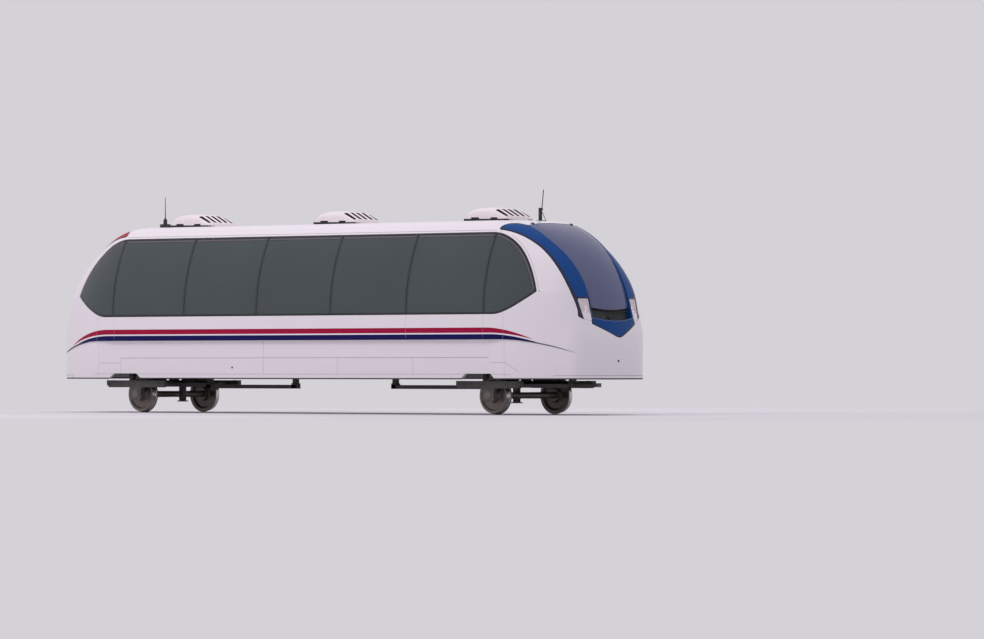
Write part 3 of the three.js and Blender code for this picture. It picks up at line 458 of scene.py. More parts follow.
class Surface:
    """Triangles with a normal and an inner point at each vertex, which can be cut along level lines."""

    def __init__(self, points, normals, inner, triangles):
        self.points = points
        self.normals = normals
        self.inner = inner
        self.triangles = triangles

    def cut(self, level):
        """Splits the triangles along level = 0. Returns the mask of those where level is below 0."""
        values = level(self.points)
        values[np.abs(values) < 2e-5] = 0.0
        sign = np.sign(values)[self.triangles]
        crossing = (sign.min(1) < 0) & (sign.max(1) > 0)
        kept = self.triangles[~crossing]
        if crossing.any():
            cut_triangles = self.triangles[crossing]
            edges = np.unique(np.sort(edges_of(cut_triangles), 1), axis=0)
            edges = edges[values[edges[:, 0]] * values[edges[:, 1]] < 0]
            share = self._crossing(level, edges, values)
            first = len(self.points)
            self._blend(edges, share)
            lookup = {(int(i), int(j)): first + n for n, (i, j) in enumerate(edges)}
            pieces = []
            for triangle in cut_triangles.tolist():
                pieces.extend(split_triangle(triangle, values, lookup))
            kept = np.concatenate([kept, np.array(pieces, int).reshape(-1, 3)])
            values = np.concatenate([values, np.zeros(len(edges))])
        self.triangles = kept
        return np.sign(values)[self.triangles].sum(1) < 0

    def _crossing(self, level, edges, values):
        """Where each edge meets level = 0, as a share of its length."""
        low = np.zeros(len(edges))
        high = np.ones(len(edges))
        start = self.points[edges[:, 0]]
        end = self.points[edges[:, 1]]
        below = values[edges[:, 0]] < 0
        for _ in range(12):
            middle = (low + high) / 2
            same = (level(start + (end - start) * middle[:, None]) < 0) == below
            low = np.where(same, middle, low)
            high = np.where(same, high, middle)
        return (low + high) / 2

    def _blend(self, edges, share):
        t = share[:, None]
        mix = lambda values: values[edges[:, 0]] * (1 - t) + values[edges[:, 1]] * t
        normals = mix(self.normals)
        normals /= np.linalg.norm(normals, axis=1, keepdims=True)
        self.points = np.concatenate([self.points, mix(self.points)])
        self.inner = np.concatenate([self.inner, mix(self.inner)])
        self.normals = np.concatenate([self.normals, normals])

    def take(self, mask):
        """The surface of the masked triangles alone."""
        used, triangles = np.unique(self.triangles[mask], return_inverse=True)
        return Surface(self.points[used], self.normals[used], self.inner[used], triangles.reshape(-1, 3))

    def part(self, level):
        """The part where level is below 0, cut cleanly."""
        piece = self.take(level(self.points)[self.triangles].min(1) < 0)
        return piece.take(piece.cut(level))


def split_triangle(triangle, values, lookup):
    """Triangles that make up one triangle cut along the zero line."""
    signs = [np.sign(values[v]) for v in triangle]
    cut_at = lambda i, j: lookup[(min(triangle[i], triangle[j]), max(triangle[i], triangle[j]))]
    if 0 in signs:
        i = signs.index(0)
        j, k = (i + 1) % 3, (i + 2) % 3
        m = cut_at(j, k)
        return [(triangle[i], triangle[j], m), (triangle[i], m, triangle[k])]
    total = sum(signs)
    i = next(n for n in range(3) if signs[n] == -np.sign(total))
    j, k = (i + 1) % 3, (i + 2) % 3
    a, b = cut_at(i, j), cut_at(k, i)
    return [(triangle[i], a, b), (a, triangle[j], triangle[k]), (a, triangle[k], b)]


def grid_triangles(a, b, c, d):
    """Two triangles for each cell of a grid, from the numbers of its four corners."""
    return np.concatenate([np.stack([a, b, c], 2).reshape(-1, 3), np.stack([a, c, d], 2).reshape(-1, 3)])


def build_skin():
    grid, normals = skin_grid()
    rows, columns = grid.shape[:2]
    low = grid[:, :, 2] - SKIRT
    level_normal = normals * [1, 1, 0]
    level_normal /= np.maximum(np.linalg.norm(level_normal, axis=2, keepdims=True), 1e-6)
    crease = crease_height(grid[:, :, 0])
    foot = crease - UNDER_CREASE
    lift = np.where(low < foot, low / foot, np.clip((LIFT_END - low) / (LIFT_END - crease), 0, 1))
    lifted = grid - level_normal * WALL
    lifted[:, :, 2] += WALL * lift
    share = np.clip((low - BELT) / INNER_BLEND, 0, 1)[:, :, None]
    inner = lifted * (1 - share) + (grid - normals * WALL) * share
    points = grid.reshape(-1, 3)
    index = np.arange(rows * columns).reshape(rows, columns)
    after = np.roll(index, -1, 1)
    triangles = grid_triangles(index[:-1], after[:-1], after[1:], index[1:])
    _, first, merged = np.unique(np.round(points, 5), axis=0, return_index=True, return_inverse=True)
    triangles = merged.reshape(-1)[triangles]
    corners = points[first][triangles]
    area = np.linalg.norm(np.cross(corners[:, 1] - corners[:, 0], corners[:, 2] - corners[:, 0]), axis=1)
    triangles = triangles[area > 1e-9]
    return Surface(points[first], normals.reshape(-1, 3)[first], inner.reshape(-1, 3)[first], triangles)


# Making pieces

def add_piece(name, mesh, materials, slot, node, body):
    for material in materials:
        mesh.materials.append(material)
    piece = add_object(name, mesh)
    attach(piece, body)
    if node:
        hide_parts(node)


def painted(surface, layers):
    """Cuts a surface along the edges of each layer, and returns the paint index of each triangle.

    A layer is a list of levels, all below 0 where it covers, and an index. The last layer lies on top.
    """
    for levels, _ in layers:
        for level in levels:
            surface.cut(level)
    centres = surface.points[surface.triangles].mean(1)
    paint = np.zeros(len(surface.triangles), int)
    for levels, index in layers:
        inside = np.max([level(centres) for level in levels], axis=0) < 0
        paint[inside] = index
    return paint


def panel(name, surface, materials, layers=(), slot="white_paint", node=None, lining=None, lower=0.0,
          thickness=None, body="car_body"):
    """A closed panel: the outer surface, an inner one and the rim between them.

    The layers are painted with the materials, and the first material is where there is no layer. lower sets
    the outer surface in from the skin, and thickness is the distance to the inner surface where it isn't the
    wall's. Each is a number or a function of the points.
    """
    paint = painted(surface, layers)
    amount = lambda value: value(surface.points) if callable(value) else value
    points = surface.points - surface.normals * amount(lower)
    inner = surface.inner if thickness is None else points - surface.normals * amount(thickness)
    triangles = surface.triangles
    turned = triangles[:, ::-1]
    edges = edges_of(triangles)
    _, where, times = np.unique(np.sort(edges, 1), axis=0, return_inverse=True, return_counts=True)
    rim = edges[times[where.reshape(-1)] == 1]
    count = len(points)
    quads = np.stack([rim[:, 1], rim[:, 0], rim[:, 0] + count, rim[:, 1] + count], 1)
    all_points = np.concatenate([points, inner])
    corner = all_points[quads]
    rim_normals = np.cross(corner[:, 1] - corner[:, 0], corner[:, 3] - corner[:, 0])
    rim_normals /= np.maximum(np.linalg.norm(rim_normals, axis=1, keepdims=True), 1e-12)
    outer_normals = surface.normals[triangles].reshape(-1, 3)
    inner_normals = -surface.normals[turned].reshape(-1, 3)
    normals = np.concatenate([outer_normals, inner_normals, np.repeat(rim_normals, 4, 0)])
    index = np.concatenate([paint, np.full(len(triangles), len(materials)), np.zeros(len(quads), int)])
    mesh = bpy.data.meshes.new(name)
    faces = triangles.tolist() + (turned + count).tolist() + quads.tolist()
    mesh.from_pydata(all_points.tolist(), [], faces)
    mesh.polygons.foreach_set("material_index", index.astype(np.int32))
    mesh.polygons.foreach_set("use_smooth", np.ones(len(faces), bool))
    mesh.update()
    mesh.normals_split_custom_set(normals.tolist())
    add_piece(name, mesh, [*materials, lining or materials[0]], slot, node, body)


# Level functions. Each is below 0 inside what it names.

def along(points):
    return points[:, 0]


def reach(points):
    return np.abs(points[:, 0])


def height(points):
    return points[:, 2] - SKIRT


def distance_to_outline(points, outline):
    """Signed distance in a plane to a closed outline, below 0 inside."""
    outline = np.asarray(outline, float)
    best = np.full(len(points), np.inf)
    inside = np.zeros(len(points), bool)
    for a, b in zip(outline, np.roll(outline, -1, 0)):
        edge = b - a
        share = np.clip(((points - a) @ edge) / (edge @ edge), 0, 1)
        best = np.minimum(best, np.linalg.norm(points - a - share[:, None] * edge, axis=1))
        crosses = (a[1] > points[:, 1]) != (b[1] > points[:, 1])
        with np.errstate(divide="ignore", invalid="ignore"):
            at = a[0] + (points[:, 1] - a[1]) / (b[1] - a[1]) * edge[0]
        inside ^= crosses & (points[:, 0] < at)
    return np.where(inside, -best, best)


def rounded(points, low, top, radius):
    """Signed distance to a rectangle with rounded corners, below 0 inside."""
    middle = (np.array(low) + np.array(top)) / 2
    half = (np.array(top) - np.array(low)) / 2 - radius
    gap = np.abs(points - middle) - half
    return np.linalg.norm(np.maximum(gap, 0), axis=1) + np.minimum(gap.max(1), 0) - radius


def smooth_max(a, b, radius):
    blend = np.maximum(radius - np.abs(a - b), 0) / radius
    return np.maximum(a, b) + blend**2 * radius / 4


def bezier(points, count):
    t = np.linspace(0, 1, count + 1)[:, None]
    order = len(points) - 1
    total = 0
    for i, p in enumerate(np.asarray(points, float)):
        total = total + math.comb(order, i) * t**i * (1 - t) ** (order - i) * p
    return total


def folded(points, *axes):
    """Coordinates in a view, with x and y measured from the middle and z from the skirt's lower edge."""
    values = {"x": reach(points), "y": np.abs(points[:, 1]), "z": height(points)}
    return np.stack([values[a] for a in axes], 1)


def side_view(points):
    return np.stack([along(points), height(points)], 1)


# Outline of the side windows
WINDOW_MIDDLE = -1.0  # the folded outline closes beyond the middle of the car
WINDOW_TIP = (5.695, 1.527)
WINDOW_OUTLINE = np.concatenate([
    [(WINDOW_MIDDLE, SILL)],
    bezier([(4.85, SILL), (5.13, SILL), WINDOW_TIP], 8),
    bezier([WINDOW_TIP, (5.5, 2.15), (5.03, GLASS_TOP), (4.55, GLASS_TOP)], 20)[1:],
    [(WINDOW_MIDDLE, GLASS_TOP)],
])

# Mask: side view of its outer edge, front view of its lower part, plan of its end on the roof
MASK_EDGE = [
    *bezier([(6.357, 0.9), (6.359, 1.611), (5.569, 2.601), (4.6, 2.63)], 40),
    (4.6, 3.6), (8.0, 3.6), (8.0, 0.0), (6.5, 0.0),
]
MASK_FRONT = [
    (-1.0, 0.714), (0.0, 0.714), (0.06, 0.722), (0.12, 0.748), (0.588, 0.955), (0.571, 1.003), (0.56, 1.40),
    (0.78, 1.40), (0.728, 1.034), (0.832, 1.078), (1.6, 1.11), (1.6, 3.3), (-1.0, 3.3),
]
MASK_REAR_EDGE = [
    (4.6, 1.6), *bezier([(4.63, 1.06), (4.68, 0.8), (4.86, 0.7), (5.035, 0.655)], 20), (5.045, -1.0),
    (7.2, -1.0), (7.2, 1.6),
]
SCREEN_FRONT = [
    (-1.0, 1.007), (0.0, 1.007), (0.28, 1.022), (0.545, 1.065), (0.54, 1.2), (0.534, 1.25), (0.54, 1.47),
    (0.546, 1.742), (0.572, 2.011), (0.612, 2.26), (0.654, 2.435), (0.666, 2.548), (0.664, 2.662),
    (0.664, 3.3), (-1.0, 3.3),
]
LAMP_FRONT = [(0.56, 1.40), (0.78, 1.40), (0.728, 1.034), (0.571, 1.003)]
FRONT_TOP = 2.0  # the front view shapes the mask below this height
PLAN_FOOT = 2.2  # the plan shapes the mask above this height
SCREEN_TOP = 5.035
SCREEN_START = 4.9
LAMP_START = 5.9
BAY_TOP = 1.205
BAY_RISE = 0.045  # of the bay's upper edge, from the middle to its ends
BAY_HALF = 0.53
MASK_BLENDS = (0.03, 0.06)  # rounding between the mask's views, below and on the roof
SCREEN_BLEND = 0.05
DOORWAY_CORNER = 0.05
NO_LIMIT = -0.5  # value of a level where it limits nothing
OUTSIDE = 1.0  # value of a level where nothing is inside


def in_window(points):
    return distance_to_outline(folded(points, "x", "z"), WINDOW_OUTLINE)


def in_mask_outline(points):
    side = distance_to_outline(folded(points, "x", "z"), MASK_EDGE)
    front = distance_to_outline(folded(points, "y", "z"), MASK_FRONT)
    plan = distance_to_outline(folded(points, "x", "y"), MASK_REAR_EDGE)
    lower = smooth_max(side, np.where(height(points) < FRONT_TOP, front, NO_LIMIT), MASK_BLENDS[0])
    return smooth_max(lower, np.where(height(points) > PLAN_FOOT, plan, NO_LIMIT), MASK_BLENDS[1])


def in_screen(points):
    front = distance_to_outline(folded(points, "y", "z"), SCREEN_FRONT)
    top = np.where(height(points) > PLAN_FOOT, SCREEN_TOP - reach(points), NO_LIMIT)
    return smooth_max(np.where(reach(points) > SCREEN_START, front, OUTSIDE), top, SCREEN_BLEND)


def in_lamp(points):
    inside = distance_to_outline(folded(points, "y", "z"), LAMP_FRONT)
    return np.where(reach(points) > LAMP_START, inside, OUTSIDE)


def above_bay(points):
    return BAY_TOP + BAY_RISE * (np.abs(points[:, 1]) / BAY_HALF) ** 2 - height(points)


def behind_cowl_joint(points):
    """Below 0 on the side walls, above 0 on the cowls. The joint steps back above the window's middle."""
    return reach(points) - np.where(height(points) > JOINT_STEP, UPPER_JOINT, COWL_JOINT)


def above_roof_joint(points):
    return ROOF_JOINT - height(points)


def in_door_bay(points):
    """Below 0 in the two bays of the left side whose window band is taken by the doors."""
    bays = [np.abs(along(points) - centre) - PANE_PITCH / 2 for centre in DOOR_CENTRES.values()]
    return np.where(points[:, 1] > 0, np.minimum(*bays), OUTSIDE)


def in_doorway(points):
    gaps = [np.abs(along(points) - centre) - DOORWAY_HALF for centre in DOOR_CENTRES.values()]
    opening = smooth_max(np.minimum(*gaps), height(points) - DOORWAY_TOP, DOORWAY_CORNER)
    return np.where(points[:, 1] > 0, np.maximum(opening, FLOOR_TOP - height(points)), OUTSIDE)


def in_glazing(points):
    return np.maximum(in_window(points), -in_door_bay(points))


# Cut-outs of the skirt over the trucks
HUMP_HALF = 0.395
HUMP_TOP_HALF = 0.30
HUMP_HEIGHT = 0.08


def in_hump(points):
    x = np.abs(reach(points) - TRUCK_X)
    z = height(points)
    slope = (HUMP_HALF - HUMP_TOP_HALF) / HUMP_HEIGHT
    return np.maximum(x - HUMP_HALF + z * slope, z - HUMP_HEIGHT)


# Strips, and the layers of paint that are made of them

def strip(value, half, *limits):
    """Levels of a strip along value = 0, kept to where the limits are below 0."""
    return [lambda p: value(p) - half, lambda p: -value(p) - half, *limits]


def line_at(value, at):
    return lambda p: value(p) - at


def within(value, start, end):
    return lambda p: np.abs(value(p) - (start + end) / 2) - (end - start) / 2


def above(limit):
    return lambda p: limit - height(p)


def ahead(limit):
    return lambda p: limit - reach(p)


def segment(start, end, half):
    """Levels of a straight strip in side view."""
    start, end = np.array(start), np.array(end)
    length = np.linalg.norm(end - start)
    run = (end - start) / length
    side = np.array([-run[1], run[0]])
    flat = lambda p: side_view(p) - start
    ends = [lambda p: -(flat(p) @ run) - half, lambda p: flat(p) @ run - length - half]
    return strip(lambda p: flat(p) @ side, half, *ends)


# Numbers of the paints in the lists of materials of walls, cowls and door leaves, which have rubber for seal
RED_PAINT, NAVY_PAINT, SEAL_PAINT, JOINT_PAINT, SHADE_PAINT = 1, 2, 3, 4, 5

# Stripes: the height of each edge in the middle of the car, and how it falls with the square beyond the bend
STRIPE_BEND = 4.75
RED_TOP_BEND = 4.65
RED_TOP = (0.894, 0.207)
RED_FOOT = (0.802, 0.145)
NAVY_TOP = (0.777, 0.152)
NAVY_GAP = 0.009  # between the navy stripe and the crease


def stripe_line(x, line, bend=STRIPE_BEND):
    return line[0] - line[1] * np.maximum(0, np.abs(x) - bend) ** 2


def over_red(p):
    return height(p) - stripe_line(along(p), RED_TOP, np.where(along(p) > 0, RED_TOP_BEND, STRIPE_BEND))


STRIPES = [
    ([over_red, lambda p: stripe_line(along(p), RED_FOOT) - height(p)], RED_PAINT),
    ([
        lambda p: height(p) - stripe_line(along(p), NAVY_TOP),
        lambda p: crease_height(along(p)) - NAVY_GAP - height(p),
    ], NAVY_PAINT),
]

# Thin joints between access panels
JOINT_HALF = 0.005
FINE_HALF = 0.0035
BELT_HALF = 0.002
PANEL_LINE = 0.365
PANEL_SPAN = (-4.52, 4.668)
LIP_LINE = 0.07
LIP_END = 5.2
NOSE_LIP_LINE = 0.045
NOSE_LIP_START = 6.0
WALL_UPRIGHTS = [(-4.518, PANEL_LINE), (-0.837, 0.67), (1.012, PANEL_LINE), (2.855, PANEL_LINE)]
BELT_UPRIGHTS = [-4.598, 2.77, 4.614]
BELT_SPAN = (0.72, SILL)
STEP_LINES = [
    ((4.692, 0.277), (5.092, 0.276)), ((5.092, 0.276), (5.336, 0.127)), ((-5.026, 0.273), (-4.518, 0.273)),
]
LIP_JOINT = (strip(line_at(height, LIP_LINE), FINE_HALF, within(along, -LIP_END, LIP_END)), JOINT_PAINT)
STEP_JOINTS = [(segment(start, end, FINE_HALF), JOINT_PAINT) for start, end in STEP_LINES]
WALL_JOINTS = [
    (strip(line_at(height, PANEL_LINE), JOINT_HALF, within(along, *PANEL_SPAN)), JOINT_PAINT),
    LIP_JOINT,
    *[(strip(line_at(along, at), FINE_HALF, within(height, LIP_LINE, top)), JOINT_PAINT)
      for at, top in WALL_UPRIGHTS],
    *[(strip(line_at(along, at), BELT_HALF, within(height, *BELT_SPAN)), JOINT_PAINT)
      for at in BELT_UPRIGHTS],
    *STEP_JOINTS,
]

# Lines around the side windows
SEAL_WIDTH = 0.012
GUTTER_GAP = 0.045  # thin line above the side windows, distance from the glass
GUTTER_HALF = 0.004
GUTTER_FOOT = 2.3
GUTTER_END = 4.62
BEZEL_GAP = 0.045  # joint around the pointed ends of the side windows
BEZEL_HALF = 0.003
BEZEL_FOOT = 1.53
BEZEL_START = 4.95
BEZEL_EYE = (5.755, 1.526, 0.009)  # dark dot beside the window's tip: place and radius
GUTTER = [
    ([lambda p: in_glazing(p) - SEAL_WIDTH], SEAL_PAINT),
    (strip(
        line_at(in_window, GUTTER_GAP), GUTTER_HALF, above(GUTTER_FOOT),
        within(along, -GUTTER_END, GUTTER_END),
    ), JOINT_PAINT),
]
NOSE_JOINTS = [
    (strip(line_at(in_window, BEZEL_GAP), BEZEL_HALF, above(BEZEL_FOOT), ahead(BEZEL_START)), JOINT_PAINT),
    (strip(line_at(height, NOSE_LIP_LINE), JOINT_HALF, ahead(NOSE_LIP_START)), JOINT_PAINT),
    LIP_JOINT,
    ([lambda p: np.linalg.norm(folded(p, "x", "z") - BEZEL_EYE[:2], axis=1) - BEZEL_EYE[2]], SEAL_PAINT),
    *STEP_JOINTS,
]

# Shadow line where the crease runs on ahead of the stripes, thickest in its middle
SHADOW_HALF = 0.013
SHADOW_MIDDLE = 5.86
SHADOW_REACH = 0.51


def from_shadow(p):
    return height(p) - crease_height(along(p)) + SHADOW_HALF


def shadow_half(p):
    return SHADOW_HALF * (1 - ((reach(p) - SHADOW_MIDDLE) / SHADOW_REACH) ** 2)


CREASE_LINE = [
    ([lambda p: from_shadow(p) - shadow_half(p), lambda p: -from_shadow(p) - shadow_half(p)], SHADE_PAINT)
]


# Masks, windscreens, wiper bays and lamps of both ends

skin = build_skin()
window_skin = skin.part(in_window).part(lambda p: -in_door_bay(p))
body_skin = skin.part(lambda p: -in_glazing(p))
GAP = 0.002
ENDS = [("front", 1, BLUE, "blue_paint"), ("rear", -1, RED_MASK, "red_paint")]
NOSE_START = 4.0
LAMP_SHADE = 1.33  # the lamp housings are darker above this height
LAMP_COVER = 1.15  # the lamps have a white cover below this height
OUTLINE_WIDTH = 0.026
LIP_OUT = 0.012  # the turned-out lower edge of the cowl
COWL_ROOF_END = 5.06  # behind this the cowl ends at the roof's joint
BUCKET_DEPTH = 0.045
SCREEN_SETBACK = (0.045, 0.003)  # of the glass behind the mask, at its foot and at its top
SETBACK_HEIGHTS = (1.2, 2.3)
BAY_DEPTH = 0.10
BAY_BACK = 0.015
# The grey band of the mask around the bay is a painted highlight on the bay's edge.
BAY_HIGHLIGHT_WIDTH = 0.008  # grey edge of the mask around the bay
REVEAL_RISE = 0.06  # the reveal is as deep as the bay up to this height over the bay
REVEAL_DEPTH = 0.015
REVEAL_WIDTH = 0.01
SCREEN_BORDER = 0.012


def on_side(sign):
    return lambda p: -sign * p[:, 1]


def build_lamps(nose, end):
    lamp_skin = nose.part(lambda p: in_lamp(p) + GAP)
    for side, sign in reversed(SIDES):
        lens = lamp_skin.part(on_side(sign))
        panel(
            f"lamp_lens_{end}_{side}", lens, [LENS, WHITE], [([line_at(height, LAMP_COVER)], 1)],
            slot="lamp_lens", node=f"lamp_{end}_{side}", thickness=0.006,
        )
        panel(
            f"lamp_bucket_{end}_{side}", lens, [WHITE, GREY], [([above(LAMP_SHADE)], 1)], slot="lamp_lens",
            lower=BUCKET_DEPTH, thickness=0.004,
        )


def screen_setback(points):
    return np.interp(height(points), SETBACK_HEIGHTS, SCREEN_SETBACK)[:, None]


def reveal_depth(points):
    depth = np.where(height(points) < BAY_TOP + REVEAL_RISE, BAY_DEPTH + BAY_BACK, 0.0)[:, None]
    return np.maximum(depth, screen_setback(points) + REVEAL_DEPTH)


def build_windscreen(nose, end, paint, slot):
    screen_skin = nose.part(lambda p: in_screen(p) + GAP)
    inner = screen_skin.part(lambda p: in_screen(p) + REVEAL_WIDTH + GAP)
    glass = inner.part(above_bay)
    borders = [
        # The border along the sides and top is painted bluish as a reflection of the reveal's edges.
        ([lambda p: -(in_screen(p) + REVEAL_WIDTH + SCREEN_BORDER)], 1),
        # The black frit band along the glass's foot also stands as the painted shadow under the bay's upper
        # edge.
        ([lambda p: -(above_bay(p) + SCREEN_BORDER)], 2),
    ]
    panel(
        f"windscreen_glass_{end}", glass, [SCREEN, SCREEN_EDGE_REFLECTION, FRIT], borders, slot="windscreen_glass",
        node=f"windscreen_{end}", lower=screen_setback, thickness=0.012,
    )
    bay = inner.part(lambda p: -above_bay(p) + GAP)
    panel(f"wiper_bay_{end}", bay, [BAY], slot="black_frame", lower=BAY_DEPTH, thickness=BAY_BACK)
    reveal = screen_skin.part(lambda p: -(in_screen(p) + REVEAL_WIDTH))
    panel(f"screen_reveal_{end}", reveal, [paint], slot=slot, lower=0.001, thickness=reveal_depth)


def build_mask(nose, end, paint, slot):
    mask = nose.part(lambda p: np.maximum(in_mask_outline(p), -in_screen(p)) + GAP)
    borders = [
        ([lambda p: -(in_mask_outline(p) + OUTLINE_WIDTH)], 1),
        # Painted highlight: a light grey band along the bay's edge.
        ([lambda p: np.where(height(p) < BAY_TOP, in_screen(p) - BAY_HIGHLIGHT_WIDTH, OUTSIDE)], 2),
    ]
    panel(
        f"mask_panel_{end}", mask, [paint, OUTLINE, GREY], borders, slot=slot, node=f"mask_{end}",
        lining=LINING,
    )


def build_cowl(nose, end):
    plain = lambda p: np.minimum(np.minimum(in_mask_outline(p), in_lamp(p)), in_screen(p))
    cowl = nose.part(lambda p: -plain(p) + GAP).part(lambda p: -behind_cowl_joint(p) + GAP)
    cowl = cowl.part(lambda p: -above_roof_joint(p) * np.where(reach(p) < COWL_ROOF_END, 1, 0) - 1e-4)
    lip = cowl.part(lambda p: height(p) - NOSE_LIP_LINE + 0.003).part(ahead(NOSE_LIP_START))
    panel(f"cowl_lip_{end}", lip, [WHITE], lower=-LIP_OUT, thickness=LIP_OUT + 0.004)
    panel(
        f"cowl_panel_{end}", cowl, [WHITE, RED, NAVY, SEAL, JOINT, CREASE_SHADE],
        CREASE_LINE + STRIPES + GUTTER + NOSE_JOINTS, node=f"cowl_{end}", lining=LINING,
    )


for end, way, paint, slot in ENDS:
    nose_skin = body_skin.part(lambda p: NOSE_START - way * along(p))
    build_lamps(nose_skin, end)
    build_windscreen(nose_skin, end, paint, slot)
    build_mask(nose_skin, end, paint, slot)
    build_cowl(nose_skin, end)


# Roof between the masks, and side walls

ROOF_GAP = 0.0006
not_mask = lambda p: -np.minimum(in_mask_outline(p), in_screen(p)) + GAP
roof_skin = body_skin.part(lambda p: above_roof_joint(p) + ROOF_GAP).part(not_mask)
panel("roof_panel", roof_skin, [WHITE], node="roof", lining=LINING)
walls = body_skin.part(lambda p: behind_cowl_joint(p) + GAP).part(lambda p: -above_roof_joint(p) + ROOF_GAP)
walls = walls.part(lambda p: -in_mask_outline(p) + GAP)
for side, sign in SIDES:
    wall = walls.part(on_side(sign)).part(lambda p: -in_hump(p))
    if side == "left":
        wall = wall.part(lambda p: -in_doorway(p))
    panel(
        f"side_wall_{side}", wall, [WHITE, RED, NAVY, SEAL, JOINT], STRIPES + GUTTER + WALL_JOINTS,
        node=f"side_{side}", lining=LINING,
    )


# Glued panes, and behind them the posts of the wall

PANE_GAP_HALF = 0.004
POST_HALF = 0.045
POST_SETBACK = 0.0145
POST_THICKNESS = 0.05
FRIT_WIDTH = 0.028
FRIT_OVER_GAP = 0.006
HEADER_GAP = 0.062  # line near the upper edge of the glass
HEADER_HALF = 0.005
HEADER_FOOT = 1.58
WINDOW_END = 7.0


def in_post(points):
    return np.min([np.abs(along(points) - at) for at in MULLIONS], axis=0) - POST_HALF


def build_pane(flank, side, number, low, high):
    between = lambda p: np.maximum(low - along(p), along(p) - high)
    rim = lambda p: np.maximum(between(p) - FRIT_WIDTH + FRIT_OVER_GAP, in_window(p))
    borders = [
        ([lambda p: -(in_window(p) + HEADER_GAP), above(HEADER_FOOT)], 3),
        ([in_post], 2),
        (strip(lambda p: in_window(p) + HEADER_GAP, HEADER_HALF, above(HEADER_FOOT)), 1),
        ([lambda p: -(rim(p) + FRIT_WIDTH)], 1),
    ]
    panel(
        f"pane_glass_{side}_{number}", flank.part(between).part(lambda p: in_window(p) + GAP),
        [GLASS, FRIT, GLASS_SHADE, EDGE_GLASS], borders, slot="tinted_glass", node=f"pane_{side}_{number}",
        lower=0.003, thickness=0.01,
    )


for side, sign in SIDES:
    flank = window_skin.part(on_side(sign))
    posts = flank.part(in_post).part(lambda p: -in_doorway(p))
    panel(
        f"window_posts_{side}", posts, [SEAL], slot="black_frame", lower=POST_SETBACK,
        thickness=POST_THICKNESS,
    )
    ends = [-WINDOW_END, *MULLIONS, WINDOW_END]
    for number, (start, stop) in enumerate(zip(ends, ends[1:]), 1):
        middle = (start + stop) / 2
        if side == "right" or all(abs(middle - centre) > 0.1 for centre in DOOR_CENTRES.values()):
            build_pane(flank, side, number, start + PANE_GAP_HALF, stop - PANE_GAP_HALF)


# Shapes of single pieces

TURNS = {"x": lambda a, b, c: (c, a, b), "y": lambda a, b, c: (a, c, b), "z": lambda a, b, c: (a, b, c)}


